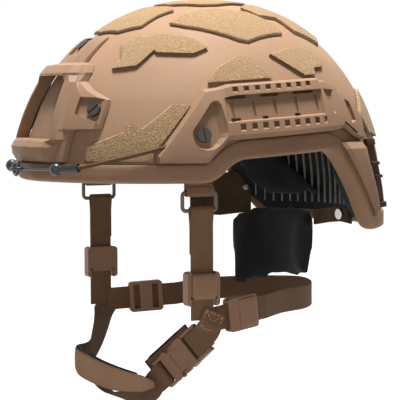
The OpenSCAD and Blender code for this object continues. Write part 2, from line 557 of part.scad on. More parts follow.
// Each side hangs from a webbing tab inside the shell, through a wire ring
hang_x = shell_half_w - shell_t - 15;
bar_high_z = ring_z + (ring_h - wire_d) / 2;
bar_low_z = ring_z - (ring_h - wire_d) / 2;
wrap_r = wire_d / 2 + seat + web_t / 2;
ply = web_t / 2 + 0.1;
ring_corner = 3;
module ring_left() color("#5a4433") translate([hang_x, ring_y, ring_z]) rotate([90, 0, 90]) {
    l = (ring_l - wire_d) / 2;
    h = (ring_h - wire_d) / 2;
    for (s = [-1, 1]) {
        translate([ring_corner - l, s * h, 0]) rotate([0, 90, 0])
            cylinder(h = 2 * (l - ring_corner), d = wire_d, $fn = 24);
        translate([s * l, ring_corner - h, 0]) rotate([-90, 0, 0])
            cylinder(h = 2 * (h - ring_corner), d = wire_d, $fn = 24);
    }
    for (q = [[1, 1, 0], [-1, 1, 90], [-1, -1, 180], [1, -1, 270]])
        translate([q[0] * (l - ring_corner), q[1] * (h - ring_corner), 0]) rotate([0, 0, q[2]])
            rotate_extrude(angle = 90, $fn = 32) translate([ring_corner, 0]) circle(d = wire_d, $fn = 24);
}
module ring_right() mirror([1, 0, 0]) ring_left();
tab_top_z = rail_screw_z + 9;
tab_in_x = hang_x - ply - 0.7;
function tab_mid(z) = side_pt(ring_y, z, tab_off);
tab_side = let (n = skin_normal(RAIL_SCREW)) unit([-n[1], n[0], 0]);
module strap_tab_left() color("#6b5440") difference() {
    ribbon([[hang_x + ply, ring_y, -0.5], [hang_x + ply, ring_y, -2],
        [hang_x + wrap_r * 0.8, ring_y, bar_high_z + 3.5],
        for (a = [0:-30:-180]) [hang_x + wrap_r * cos(a), ring_y, bar_high_z + wrap_r * sin(a)],
        [hang_x - wrap_r * 0.8, ring_y, bar_high_z + 3.5], for (z = [2, 10, 16]) [tab_in_x, ring_y, z],
        for (z = [20.5, 25, 36, tab_top_z]) tab_mid(z)],
        [each [for (i = [0:10]) [0, 1, 0]], for (k = [0.35, 0.7, 0.9]) unit([0, 1 - k, 0] + k * tab_side),
        tab_side], tab_w);
    on_skin(RAIL_SCREW) translate([0, 0, -shell_t - 12]) cylinder(h = 14, d = shank_d + 2 * screw_gap, $fn = 24);
}
module strap_tab_right() mirror([1, 0, 0]) strap_tab_left();
strap_y = ring_y + 1.5;
fold_end_z = -54;
module side_strap(junction_z) color("#6e5038") ribbon([
    [hang_x - ply, strap_y, fold_end_z], [hang_x - ply, strap_y, -42], [hang_x - ply, strap_y, -32],
    [hang_x - wrap_r * 0.8, strap_y, bar_low_z - 3.5],
    for (a = [180:-30:0]) [hang_x + wrap_r * cos(a), strap_y, bar_low_z + wrap_r * sin(a)],
    [hang_x + wrap_r * 0.8, strap_y, bar_low_z - 3.5], [hang_x + ply, strap_y, -32],
    [hang_x + ply, strap_y, -60], [hang_x + ply, strap_y, junction_z - 4]], [[0, -1, 0]], web_w);
module side_strap_left() side_strap(junction_left_z);
module side_strap_right() mirror([1, 0, 0]) side_strap(junction_right_z);

// Slide adjusters: two arms, a rounded cover outside and a bar inside
module plate(l, w, r) {
    square([l - 2 * r, w], center = true);
    square([l, w - 2 * r], center = true);
    for (x = [-1, 1], y = [-1, 1]) translate([x * (l / 2 - r), y * (w / 2 - r)]) circle(r, $fn = 32);
}
slot_gap = 0.5;
slot_w = web_w + 2 * slot_gap;
slot_out = ply + web_t / 2 + slot_gap;
adjuster_left_z = junction_left_z + 20;
adjuster_right_z = junction_right_z + 32.5;
module adjuster(z) color("#7a5a48") translate([hang_x, strap_y, z]) rotate([0, 90, 0]) difference() {
    union() {
        translate([0, 0, -adj_t / 2 + 1.5]) linear_extrude(adj_t - 3) plate(adj_l, adj_w, 3);
        translate([-1.5, 0, 1]) linear_extrude(adj_t / 2 - 1) plate(adj_l - 6, web_w + 1, 2);
    }
    translate([-adj_l, -slot_w / 2, -slot_out]) cube([2 * adj_l, slot_w, 2 * slot_out]);
    translate([adj_l / 2 - 5, -slot_w / 2, -adj_t]) cube([adj_l, slot_w, 2 * adj_t]);
    translate([-adj_l / 2 - 1, -slot_w / 2, slot_out - 1]) cube([2.5, slot_w, adj_t]);
    for (s = [-1, 1]) translate([adj_l / 2 - 6.5, s * slot_w / 2, -adj_t])
        cylinder(h = 2 * adj_t, d = 2.4, $fn = 24);
}
module adjuster_left() adjuster(adjuster_left_z);
module adjuster_right() mirror([1, 0, 0]) adjuster(adjuster_right_z);

// One strap runs from junction to junction round the nape, with two sliders
layer = web_t + seat;
slider_dir = unit([-0.25, 1, 0.12]);
rear_y = -44;
slide_mid_y = -12;
rear_left_start = [hang_x + ply - layer, rear_y, junction_left_z - 5];
rear_right_start = [hang_x + ply - layer, rear_y, junction_right_z];
right_dir = unit([-0.25, 1, 0.06]);
function rear_run(p, d, y) = p + d * (y - p[1]) / d[1];
function flip(p) = [-p[0], p[1], p[2]];
nape_mid_y = 17;
nape_strap_r = 72.4;
NAPE_PATH = [each [for (y = [rear_y, -30, -12, 4, 10, 14]) rear_run(rear_left_start, slider_dir, y)],
    for (a = [75:-25:-75]) [nape_strap_r * sin(a), nape_mid_y + nape_strap_r * cos(a),
        -95.5 - 3 * abs(a) / 75 + 1.5 * a / 75],
    each [for (y = [14, 10, 4, -12, -30, rear_y]) flip(rear_run(rear_right_start, right_dir, y))]];
module nape_strap() color("#75583f") ribbon(smooth(NAPE_PATH, 3), [[0, 0, 1]], web_w);
slider_l = 29;
slider_w = 26;
slider_t = 7;
module slider() color("#7a5a48") translate([0, 0, -slider_t / 2]) difference() {
    linear_extrude(slider_t) plate(slider_l, slider_w, 3);
    translate([-slider_l, -slot_w / 2, slider_t / 2 - web_t / 2 - slot_gap])
        cube([2 * slider_l, slot_w, web_t + 2 * slot_gap]);
    for (x = [-slider_l / 2 + 4, slider_l / 2 - 9])
        translate([x, -slot_w / 2, -slider_t / 2]) cube([5, slot_w, slider_t]);
}
module slider_left() on_axes(rear_run(rear_left_start, slider_dir, slide_mid_y), slider_dir,
    unit(cross([slider_dir[1], -slider_dir[0], 0], slider_dir))) slider();
module slider_right() mirror([1, 0, 0]) on_axes(rear_run(rear_right_start, right_dir, slide_mid_y), right_dir,
    unit(cross([right_dir[1], -right_dir[0], 0], right_dir))) slider();

// The chin buckle lies along its own axis: +X out of the socket's mouth,
// +Y across it and +Z outward
mouth = [76, -62.8, -141.8];
out_dir = unit([-0.587, -0.453, -0.671]);
face_dir = let (v = [0.63, -0.776, 0]) unit(v - out_dir * (v * out_dir));
across_dir = cross(face_dir, out_dir);
function at_buckle(u, v, n) = mouth + out_dir * u + across_dir * v + face_dir * n;
module in_buckle() on_axes(mouth, out_dir, across_dir) children();
wall = 1.7;
cave_w = buckle_w - 2 * wall;
cave_t = buckle_t - 3.2;
bar_d = 3.4;
strap_bar_u = -socket_l - 4.5;
arm_end_u = -socket_l - 14.5;
module buckle_socket() color("#7d5c48") in_buckle() {
    difference() {
        union() {
            translate([-socket_l / 2, 0, -buckle_t / 2]) linear_extrude(buckle_t) plate(socket_l, buckle_w, 2.5);
            for (s = [-1, 1]) translate([arm_end_u, s * (buckle_w / 2 - 1.2) - 1.2, -3])
                cube([socket_l + 2, 2.4, 6]);
        }
        translate([-socket_l + 3, -cave_w / 2, -cave_t / 2]) cube([socket_l, cave_w, cave_t]);
        for (s = [-1, 1]) translate([-15, s * buckle_w / 2 - 3, -2.4]) cube([20, 6, 4.8]);
    }
    for (u = [strap_bar_u, arm_end_u + 2]) translate([u, -buckle_w / 2 + 2, 0]) rotate([-90, 0, 0])
        cylinder(h = buckle_w - 4, d = bar_d, $fn = 24);
}
male_gap = 0.4;
end_bar_u = 9.5;
prong_pivot_u = -1.8;
prong_pivot_v = 8.2;
prong_t = 3.6;
module buckle_male() color("#7d5c48") in_buckle() {
    translate([male_gap, -buckle_w / 2 + 0.5, -cave_t / 2 + 0.2]) cube([3, buckle_w - 1, cave_t - 0.4]);
    for (s = [-1, 1]) translate([male_gap, s * (buckle_w / 2 - 1.7) - 1, -cave_t / 2 + 0.2])
        cube([10.5, 2, cave_t - 0.4]);
    translate([end_bar_u, -buckle_w / 2 + 1, 0]) rotate([-90, 0, 0])
        cylinder(h = buckle_w - 2, d = 3, $fn = 24);
    translate([-15, -2, -1.5]) cube([16, 4, 3]);
}
module prong() color("#7d5c48") {
    cylinder(h = prong_t, d = 2.8, $fn = 24);
    translate([-12.2, -1.2, 0]) cube([12.2, 2.4, prong_t]);
    translate([-8.4, 0.4, 0]) linear_extrude(prong_t) polygon([[-4, -1.4], [-4, 2.4], [-2.4, 3.9], [3.2, 3.9],
        [4.6, 1], [4.6, -1.4]]);
}
module prong_low() in_buckle() translate([prong_pivot_u, prong_pivot_v, -prong_t / 2]) prong();
module prong_high() in_buckle() mirror([0, 1, 0])
    translate([prong_pivot_u, prong_pivot_v, -prong_t / 2]) prong();

// The chin straps. The left one ends in a sewn square and wraps the socket's bar.
top_x = hang_x + ply + layer;
chin_wrap = bar_d / 2 + seat + web_t / 2;
module chin_strap_left() color("#7a5c42") ribbon([
    [top_x, strap_y + 9.9, junction_left_z + 2.2], [top_x, strap_y + 7.5, junction_left_z - 3.3],
    [top_x + 1.2, strap_y + 5, junction_left_z - 8.7], at_buckle(-42, 0, 3.1), at_buckle(-38, 0, 2.9),
    at_buckle(arm_end_u + 2, 0, chin_wrap), at_buckle(-30, 0, chin_wrap),
    for (a = [90:-30:-90]) at_buckle(strap_bar_u + chin_wrap * cos(a), 0, chin_wrap * sin(a)),
    at_buckle(-30, 0, -chin_wrap), at_buckle(arm_end_u + 2, 0, -chin_wrap), at_buckle(-39, 0, -2.8)],
    [[0, 0.91, -0.41], [0, 0.91, -0.41], [0.12, 0.85, -0.51], [0.42, 0.6, -0.69], across_dir], web_w);
function bow_pt(t, z, o) = [(70 + o) * sin(t), -68 - (36 + o) * cos(t), z];
function band_top(t) = lookup(t, [[-80, -140], [-40, -138.5], [0, -139], [33, -144], [65, -149], [80, -153]]);
function band_low(t) = lookup(t, [[-80, -154], [-40, -158], [0, -160], [33, -163], [65, -162], [80, -158.5]]);
BOW = [-80, -70, -60, -50, -40, -30, -20, -10, 0, 10, 20, 30, 40, 50, 60, 70, 80];
band_t = 2;
lining_t = 3;
module chin_bow(o, t, ends, inset) slab([for (a = BOW) if (abs(a) <= ends) let (p = band_low(a) + inset,
        q = band_top(a) - inset) [for (k = [0, 0.3, 0.7, 1]) bow_pt(a, p + (q - p) * k, o + 3 * k * (1 - k))]],
    [for (a = BOW) if (abs(a) <= ends) let (p = band_low(a) + inset, q = band_top(a) - inset)
        [for (k = [0, 0.3, 0.7, 1]) bow_pt(a, p + (q - p) * k, o - t + 3 * k * (1 - k))]]);
module chin_band() color("#a98562") chin_bow(0, band_t, 80, 0);
module chin_lining() color("#1b1a1a") chin_bow(-band_t - seat, lining_t, 60, -0.6);
end_wrap = 1.5 + seat + web_t / 2;
module under_chin_strap() color("#8a6a4e") ribbon([at_buckle(19, 0, -ply), at_buckle(15, 0, -ply - 0.4),
    for (a = [-90:-30:-270]) at_buckle(end_bar_u + end_wrap * cos(a), 0, end_wrap * sin(a)),
    at_buckle(15, 0, ply + 0.4), at_buckle(19, 0, ply), [59, -74, -161], [46, -77, -168], [30, -80, -171.5],
    [10, -83, -172], [-15, -84, -168.5], [-38, -81, -163], [-52, -77, -157]],
    [for (i = [0:10]) across_dir, -[-0.5, -0.5, 0.7], -[-0.35, -0.65, 0.65], -[-0.2, -0.8, 0.55],
    -[0, -0.9, 0.35], -[0.15, -0.85, 0.45], -[0.35, -0.65, 0.65], -[0.4, -0.5, 0.75]], web_w);
module chin_strap_right() color("#7a5c42") ribbon([
    [-top_x, strap_y + 9.9, junction_right_z + 2.2], [-top_x, strap_y + 7.5, junction_right_z - 3.3],
    [-top_x - 0.6, strap_y + 3, junction_right_z - 11], [-98, -51, -125], [-88, -57.5, -133],
    [-78, -65, -141], bow_pt(-80, -146.5, -band_t - 0.6 - web_t / 2),
    bow_pt(-66, -148.5, -band_t - 0.6 - web_t / 2)],
    [[0, 0.91, -0.41], [0, 0.91, -0.41], [-0.05, 0.85, -0.5], [-0.1, 0.7, -0.7], [-0.1, 0.5, -0.85],
    [0, 0.25, -0.95], [0, 0.05, -1]], web_w);
flap_t = 2;
module buckle_flap() color("#5e4a3a") ribbon([at_buckle(-30, -3.5, -8.5), at_buckle(-12, -3.5, -8),
    at_buckle(4, -3.5, -6.6), at_buckle(12, -3.5, -5), at_buckle(19, -3.5, -3.1)], [across_dir], 30, flap_t);

// Goggle bungees: cords from the rails to hooks whose eyes are linked in front
eye_z = 10;
eye_y = -160;
cord_off = 4.3;
CORD = [each [for (p = [[67.4, -134.8, 12], [74, -128.8, 13.5], [82, -122, 15.8], [89, -114.4, 18],
    [95.2, -106.3, 20.3], [100.4, -98, 22.7]]) [p[0] * side_share, p[1], p[2]]], side_pt(-90, 24.8, cord_off + 0.6), side_pt(-84, 26.6, cord_off),
    side_pt(-74, 28.6, cord_off - 0.1)];
cap_start = CORD[0];
ball_mid = [50.8 * side_share, -146.6, 10.5];
cap_l = norm(ball_mid - cap_start) - ball_d / 2 + 1;
module aim(a, b) let (v = unit(b - a)) translate(a) rotate([0, acos(v[2]), atan2(v[1], v[0])]) children();
module bungee_left() color("#6b5138") tube([cap_start + unit(ball_mid - cap_start) * 6, each CORD], cord_d);
module bungee_right() mirror([1, 0, 0]) bungee_left();
cord_gap = 0.3;
module hook_body() {
    aim(cap_start, ball_mid) {
        difference() {
            cylinder(h = cap_l, d = cap_d, $fn = 24);
            translate([0, 0, -1]) cylinder(h = 8, d = cord_d + 2 * cord_gap, $fn = 24);
        }
        translate([0, 0, norm(ball_mid - cap_start)]) sphere(d = ball_d, $fn = 32);
    }
    aim(ball_mid, [eye_r + 2.5, eye_y + 2.5, eye_z])
        cylinder(h = norm([eye_r + 2.5, eye_y + 2.5, eye_z] - ball_mid), d = hook_wire_d, $fn = 24);
}
eye_shift = 2.5;
module eye(n = 24, m = 10) polyhedron([for (i = [0:n - 1], k = [0:m - 1])
    let (a = 360 * i / n, b = 360 * k / m, r = eye_r + hook_wire_d / 2 * cos(b))
        [r * cos(a), r * sin(a), hook_wire_d / 2 * sin(b)]],
    [for (i = [0:n - 1], k = [0:m - 1]) let (i2 = (i + 1) % n, k2 = (k + 1) % m)
        each [[i * m + k, i * m + k2, i2 * m + k2], [i * m + k, i2 * m + k2, i2 * m + k]]], convexity = 4);
module hook_left() color("#221f1d") {
    hook_body();
    translate([eye_shift, eye_y, eye_z]) eye();
}
module hook_right() color("#221f1d") {
    mirror([1, 0, 0]) hook_body();
    translate([-eye_shift, eye_y, eye_z]) rotate([90, 0, 0]) eye();
}

// Liner: foam pads on hook discs, a ribbed liner and lining pads at the back
pad_back = shell_t + 4.2;
function crown(i, n) = let (e = min(i, n - 1 - i)) e == 0 ? 0.45 : e == 1 ? 0.9 : 1;
// A cushion between two plan angles, its columns from a low to a high line
module cushion(from, to, cols, low, high, back, t) {
    rows = 5;
    place = function(i, j, o) let (a = from + (to - from) * i / (cols - 1), e = crown(i, cols) < 0.5 ? 6 : 0,
        p = low(a) + e, q = high(a) - e) ring_pt(a, p + (q - p) * [0, 0.13, 0.5, 0.87, 1][j], o);
    slab([for (i = [0:cols - 1]) [for (j = [0:rows - 1]) place(i, j, -back)]],
        [for (i = [0:cols - 1]) [for (j = [0:rows - 1]) place(i, j, -back - t * crown(i, cols) * crown(j, rows))]]);
}
front_high_z = 62;
module front_pad() color("#1d1d1e") cushion(-126, -54, 11, function(a) 16, function(a) front_high_z, pad_back, pad_t);
module side_pad_left() color("#1d1d1e") cushion(-13, 24, 8, function(a) max(27, rim_z(a) + 22),
    function(a) 84, pad_back, pad_t);
module side_pad_right() mirror([1, 0, 0]) side_pad_left();
module crown_pad() color("#1d1d1e") fan([for (a = [0:18:359]) [46 * cos(a), 60 * sin(a)]], [0, 2], on_top,
    [0.35, 0.7, 0.92, 1], [-pad_back, -pad_back, -pad_back, -pad_back, -pad_back],
    [-pad_back - pad_t, -pad_back - pad_t, -pad_back - 0.95 * pad_t, -pad_back - 0.55 * pad_t]);
module hook_disc(p) on_skin(p) translate([0, 0, -shell_t - 4]) cylinder(h = 2.4, d = 26, $fn = 32);
module pad_discs() color("#101010") {
    hook_disc(front_pt(0, 40, 0));
    hook_disc([0, dome_mid_y, crown_h]);
    mirror_pair() {
        hook_disc(side_pt(-12, 62, 0));
        hook_disc(rear_pt(44, 84, 0));
    }
}
liner_back = trim_t + seat + shell_t + seat + 0.5;
liner_foot = 9;
module rear_liner() color("#1a1a1b") slab(
    [for (a = [30:7.5:150]) [for (k = [0, 0.25, 0.5, 0.75, 1]) ring_pt(a, rim_z(a) + liner_foot
        + (52 - rim_z(a)) * k, -liner_back)]],
    [for (a = [30:7.5:150]) [for (k = [0, 0.25, 0.5, 0.75, 1]) ring_pt(a, rim_z(a) + liner_foot
        + (52 - rim_z(a)) * k, -liner_back - liner_t + 3)]]);
rear_pad_back = liner_back + liner_t - 3 + 1.1;
module rear_pad_left() color("#161617") cushion(40, 84, 8, function(a) rim_z(a) + 20, function(a) 80,
    rear_pad_back, pad_t - 7);
module rear_pad_right() color("#161617") cushion(96, 152, 10, function(a) rim_z(a) + 18, function(a) 80,
    rear_pad_back, pad_t - 7);

// The nape pad hangs behind the neck inside the strap, turned a little to the
// right. It narrows downward. A leather tab with a snap holds it at each side.
nape_turn = -15;
nape_half = 45;
nape_low_z = -92;
nape_top_z = -24;
nape_pad_t = 12;
nape_taper = 0.1;
nape_out_r = nape_strap_r - web_t / 2 - 1.1;
function nape_pt(a, z, o) = let (r = nape_out_r + o + nape_taper * max(0, z - nape_low_z - 7))
    [r * sin(a), nape_mid_y + r * cos(a), z];
function nape_high(s) = nape_top_z - 12 * pow(abs(s), 3);
function nape_low(s) = nape_low_z + 7.5 * s + 3 * (1 - s * s);
nape_cols = 13;
function nape_grid(depth) = [for (i = [0:nape_cols - 1]) let (s = 1 - 2 * i / (nape_cols - 1))
    [for (j = [0:4]) nape_pt(nape_turn + nape_half * s,
        nape_low(s) + (nape_high(s) - nape_low(s)) * [0, 0.1, 0.5, 0.9, 1][j],
        -depth * crown(i, nape_cols) * crown(j, 5))]];
module nape_pad() color("#171616") slab(nape_grid(0), nape_grid(nape_pad_t));
tab_t = 2.5;
tab_back = liner_back + liner_t - 3 + seat + tab_t / 2 + 0.5;
tab_end = nape_pt(18, -35, tab_t / 2 + 0.6);
TAB_LEFT = [side_pt(97, -32, -tab_back), side_pt(93, -31, -tab_back - 0.5), [66, 91.5, -30], [46, 90.5, -32],
    nape_pt(26, -34, tab_t / 2 + 1), tab_end];
module nape_tab_left() color("#3b2a20") ribbon(TAB_LEFT, [[0, 0, 1]], 12, tab_t);
flap_back = liner_back + liner_t - 3 + 1.2;
module nape_tab_right() color("#5b4a33") mirror([1, 0, 0]) fan(stepped(leftward([[35, -10], [62, -2], [73, 0],
    [84, -15], [84, -36], [60, -39], [35, -37]]), 12), [62, -20], on_left, [0.5, 1],
    [-flap_back, -flap_back], [-flap_back - tab_t, -flap_back - tab_t]);
module snaps() color("#b9b4aa") {
    aim([66, 91.3 - tab_t / 2, -30], [67, 80, -30]) cylinder(h = 1.6, d = 9, $fn = 32);
    mirror([1, 0, 0]) aim(side_pt(79, -14, -flap_back - tab_t - 1.4), side_pt(79, -14, -60))
        cylinder(h = 1.4, d = 5, $fn = 32);
}

shell();
edge_trim();
nvg_shroud();
shroud_screws();
shroud_nuts();
rail_left();
rail_right();
rail_screws();
rail_nuts();
rear_rail_left();
rear_rail_right();
rear_channel_left();
rear_channel_right();
rear_screws();
patch_front();
patch_crown();
patch_back();
patch_nape();
patches_upper();
patches_brow();
patches_side();
patches_ear();
patches_cheek();
bungee_left();
bungee_right();
hook_left();
hook_right();
ring_left();
ring_right();
strap_tab_left();
strap_tab_right();
side_strap_left();
side_strap_right();
adjuster_left();
adjuster_right();
nape_strap();
slider_left();
slider_right();
chin_strap_left();
chin_strap_right();
buckle_socket();
buckle_male();
prong_low();
prong_high();
buckle_flap();
chin_band();
chin_lining();
under_chin_strap();
front_pad();
side_pad_left();
side_pad_right();
crown_pad();
pad_discs();
rear_liner();
rear_pad_left();
rear_pad_right();
nape_pad();
nape_tab_left();
nape_tab_right();
snaps();
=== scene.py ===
import json
import math

import bmesh
import bpy
import numpy as np
from mathutils import Matrix, Vector

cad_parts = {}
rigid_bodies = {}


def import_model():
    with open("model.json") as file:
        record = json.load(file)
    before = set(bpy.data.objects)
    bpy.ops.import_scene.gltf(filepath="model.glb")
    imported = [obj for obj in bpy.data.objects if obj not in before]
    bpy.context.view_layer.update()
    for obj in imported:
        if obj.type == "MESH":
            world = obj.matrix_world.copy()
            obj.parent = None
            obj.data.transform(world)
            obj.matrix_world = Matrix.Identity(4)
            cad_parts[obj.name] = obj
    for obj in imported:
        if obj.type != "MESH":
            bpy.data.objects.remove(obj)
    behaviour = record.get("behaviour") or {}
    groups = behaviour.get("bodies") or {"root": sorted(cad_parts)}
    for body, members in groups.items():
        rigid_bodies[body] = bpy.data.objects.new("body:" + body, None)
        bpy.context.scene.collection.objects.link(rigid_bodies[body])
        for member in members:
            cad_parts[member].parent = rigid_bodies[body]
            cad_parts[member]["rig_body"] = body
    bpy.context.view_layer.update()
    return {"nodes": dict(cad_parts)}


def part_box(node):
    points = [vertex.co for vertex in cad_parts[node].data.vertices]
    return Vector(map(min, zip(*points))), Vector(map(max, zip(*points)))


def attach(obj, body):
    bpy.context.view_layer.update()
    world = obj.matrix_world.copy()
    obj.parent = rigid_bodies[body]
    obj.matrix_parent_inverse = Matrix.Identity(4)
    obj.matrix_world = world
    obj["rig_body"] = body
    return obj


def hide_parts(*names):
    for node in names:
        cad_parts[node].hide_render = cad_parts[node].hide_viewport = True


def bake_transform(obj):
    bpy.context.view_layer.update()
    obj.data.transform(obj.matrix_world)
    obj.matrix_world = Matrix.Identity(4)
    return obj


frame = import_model()
NODE = frame["nodes"]
BODY_OF = {node.name: node["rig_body"] for node in NODE.values()}

# The photograph's viewpoint: level with the brow, on the wearer's left and a
# little to the front. A long lens keeps the shell's outline nearly flat.
PHOTO_SIDE = 400
VIEW_AZIMUTH = math.radians(65)
VIEW_ELEVATION = math.radians(2.5)
VIEW_ROLL = math.radians(0.35)
VIEW_DISTANCE = 1.5
FOCAL_PIXELS = 1838
ORIGIN_PIXEL = (203.2, 176.3)
SENSOR = 36


def placed(name, data):
    """A new object with that data, in the scene."""
    made = bpy.data.objects.new(name, data)
    bpy.context.scene.collection.objects.link(made)
    return made


back = Vector((
    math.sin(VIEW_AZIMUTH) * math.cos(VIEW_ELEVATION),
    -math.cos(VIEW_AZIMUTH) * math.cos(VIEW_ELEVATION),
    math.sin(VIEW_ELEVATION),
))
level_right = Vector((math.cos(VIEW_AZIMUTH), math.sin(VIEW_AZIMUTH), 0))
level_up = back.cross(level_right)
right = level_right * math.cos(VIEW_ROLL) - level_up * math.sin(VIEW_ROLL)
up = level_right * math.sin(VIEW_ROLL) + level_up * math.cos(VIEW_ROLL)
lens = bpy.data.cameras.new("photo_view")
lens.sensor_width = SENSOR
lens.lens = FOCAL_PIXELS * SENSOR / PHOTO_SIDE
lens.shift_x = (PHOTO_SIDE / 2 - ORIGIN_PIXEL[0]) / PHOTO_SIDE
lens.shift_y = (ORIGIN_PIXEL[1] - PHOTO_SIDE / 2) / PHOTO_SIDE
lens.clip_end = 20
camera = placed("photo_view", lens)
turn = Matrix((right, up, back)).transposed().to_4x4()
camera.matrix_world = Matrix.Translation(back * VIEW_DISTANCE) @ turn
bpy.context.scene.camera = camera

# A white studio: one wide lamp overhead, a weak one low on each side and one
# behind, and a floor a little under the chin.
FLOOR_Z = -0.2
FLOOR_HALF = 9
FLOOR_SHADE = (0.2, 0.2, 0.2, 1)
FLOOR_GLOW = 0.985
SKY_TINT = (1, 0.97, 0.93, 1)
SKY_STRENGTH = 0.06
WHITE = (1, 1, 1, 1)


def lamp(name, place, aim_at, size, watts):
    light = bpy.data.lights.new(name, "AREA")
    light.size = size
    light.energy = watts
    holder = placed(name, light)
    holder.location = place
    holder.rotation_euler = (Vector(aim_at) - Vector(place)).to_track_quat("-Z", "Y").to_euler()


lamp("top_softbox", (0.06, 0.02, 1.7), (0, 0, 0.05), 0.6, 64)
lamp("side_fill", (1.4, -0.75, 0.1), (0, 0, -0.06), 0.9, 4.2)
lamp("far_fill", (-1.2, -0.6, 0.3), (0, 0, -0.05), 0.9, 1.2)
lamp("rear_rim", (-0.5, 1.3, 0.9), (0, 0, 0.05), 0.7, 1.2)


def wired(tree, kind, inputs=None, **values):
    """A new shader node whose inputs take values or other nodes' outputs."""
    made = tree.nodes.new("ShaderNode" + kind)
    for key, value in values.items():
        setattr(made, key, value)
    for key, value in (inputs or {}).items():
        if isinstance(value, bpy.types.NodeSocket):
            tree.links.new(value, made.inputs[key])
        else:
            made.inputs[key].default_value = value
    return made


def seen_white(tree, plain, strength):
    """Plain's shader, with a white glow that only the view, gloss and glass see."""
    rays = wired(tree, "LightPath").outputs
    seen = rays["Is Camera Ray"]
    for other in ("Is Glossy Ray", "Is Transmission Ray"):
        seen = wired(tree, "Math", {0: seen, 1: rays[other]}, operation="MAXIMUM").outputs[0]
    kind = "Background" if plain.type == "BACKGROUND" else "Emission"
    glow = wired(tree, kind, {"Color": WHITE, "Strength": strength})
    return wired(tree, "MixShader", {0: seen, 1: plain.outputs[0], 2: glow.outputs[0]})


world = bpy.data.worlds.new("studio")
bpy.context.scene.world = world
world.use_nodes = True
ambient = world.node_tree.nodes["Background"]
ambient.inputs["Color"].default_value = SKY_TINT
ambient.inputs["Strength"].default_value = SKY_STRENGTH
sky = seen_white(world.node_tree, ambient, 1)
world.node_tree.links.new(sky.outputs[0], world.node_tree.nodes["World Output"].inputs["Surface"])

floor_mesh = bpy.data.meshes.new("floor")
floor_corners = [(x * FLOOR_HALF, y * FLOOR_HALF, FLOOR_Z) for x, y in ((-1, -1), (1, -1), (1, 1), (-1, 1))]
floor_mesh.from_pydata(floor_corners, [], [(0, 1, 2, 3)])
floor = placed("floor", floor_mesh)
floor_white = bpy.data.materials.new("floor_white")
floor_white.use_nodes = True
floor_tree = floor_white.node_tree
floor_tree.nodes.clear()
matt = wired(floor_tree, "BsdfDiffuse", {"Color": FLOOR_SHADE})
glowing = seen_white(floor_tree, matt, FLOOR_GLOW)
both = wired(floor_tree, "AddShader", {0: glowing.outputs[0], 1: matt.outputs[0]})
wired(floor_tree, "OutputMaterial", {"Surface": both.outputs[0]})
floor_mesh.materials.append(floor_white)
bpy.context.scene.view_settings.view_transform = "Standard"

# The shell is one moulding of pressed aramid cloth, open below, under a matt
# sand paint with fine grit in it. Its edge sits in the rubber trim.
HALF_W = 0.125
FRONT_L = 0.151
REAR_L = 0.146
CROWN_H = 0.141
DOME_DROP = 0.014
DOME_H = CROWN_H + DOME_DROP
MID_Y = 0.0015
FULLNESS = 2.25
SHELL_T = 0.008
SEAT = 0.0003
EDGE_GAP = 0.0028
SHELL_COLOUR = (0.35, 0.213, 0.132)
SHELL_PALE = (0.425, 0.262, 0.165)


def lift(z, o):
    return (max(0.0, z + DOME_DROP) / (DOME_H + o)) ** 2


def reach_at(y):
    return FRONT_L if y < MID_Y else REAR_L


def side_pt(y, z, o):
    share = 1 - lift(z, o) - (abs(y - MID_Y) / (reach_at(y) + o)) ** FULLNESS
    return Vector(((HALF_W + o) * math.sqrt(max(0.0, share)), y, z))


def ring_pt(angle, z, o):
    """A point of the skin at a plan angle, 0 at the wearer's left and -90 at the front."""
    s = max(0.0, 1 - lift(z, o))
    sine = math.sin(math.radians(angle))
    reach = FRONT_L if sine < 0 else REAR_L
    along = (reach + o) * (s * sine * sine) ** (1 / FULLNESS)
    return Vector((
        (HALF_W + o) * math.sqrt(s) * math.cos(math.radians(angle)),
        MID_Y + math.copysign(along, sine) if sine else MID_Y,
        z,
    ))


EAR_START = (-0.046, 0)
EAR_FRONT = (-0.029, 0.017)
EAR_REAR = (0.059, 0.023)
NAPE = (0.104, -0.042)
RIM_Y = [-0.4, EAR_START[0], EAR_FRONT[0], EAR_REAR[0], NAPE[0], 0.4]
RIM_Z = [0, EAR_START[1], EAR_FRONT[1], EAR_REAR[1], NAPE[1], NAPE[1]]
CORNER_STEP = 0.0035


def rim_at(y):
    return sum(float(np.interp(y + k * CORNER_STEP, RIM_Y, RIM_Z)) for k in range(-2, 3)) / 5


def rim_z(angle):
    return rim_at(ring_pt(angle, -DOME_DROP, 0)[1])


def rim_run(angle):
    return (ring_pt(angle + 0.5, 0, 0) - ring_pt(angle - 0.5, 0, 0)).length


def rim_slope(angle):
    return (rim_z(angle + 0.5) - rim_z(angle - 0.5)) / rim_run(angle)


def rim_pt(angle, d, o):
    """A point d above the rim, square to it, in the shell's wall."""
    slope = rim_slope(angle)
    k = math.sqrt(1 + slope * slope)
    return ring_pt(angle - d * slope / k / rim_run(angle), rim_z(angle) + d / k, o)


def opened(mesh):
    bm = bmesh.new()
    bm.from_mesh(mesh)
    return bm


def solid(name, points, faces, body="root", smooth=True):
    mesh = bpy.data.meshes.new(name)
    mesh.from_pydata([tuple(p) for p in points], [], faces)
    mesh.validate()
    bm = opened(mesh)
    bmesh.ops.recalc_face_normals(bm, faces=bm.faces)
    bm.to_mesh(mesh)
    bm.free()
    if smooth:
        mesh.shade_smooth()
    piece = placed(name, mesh)
    if body:
        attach(piece, body)
    return piece


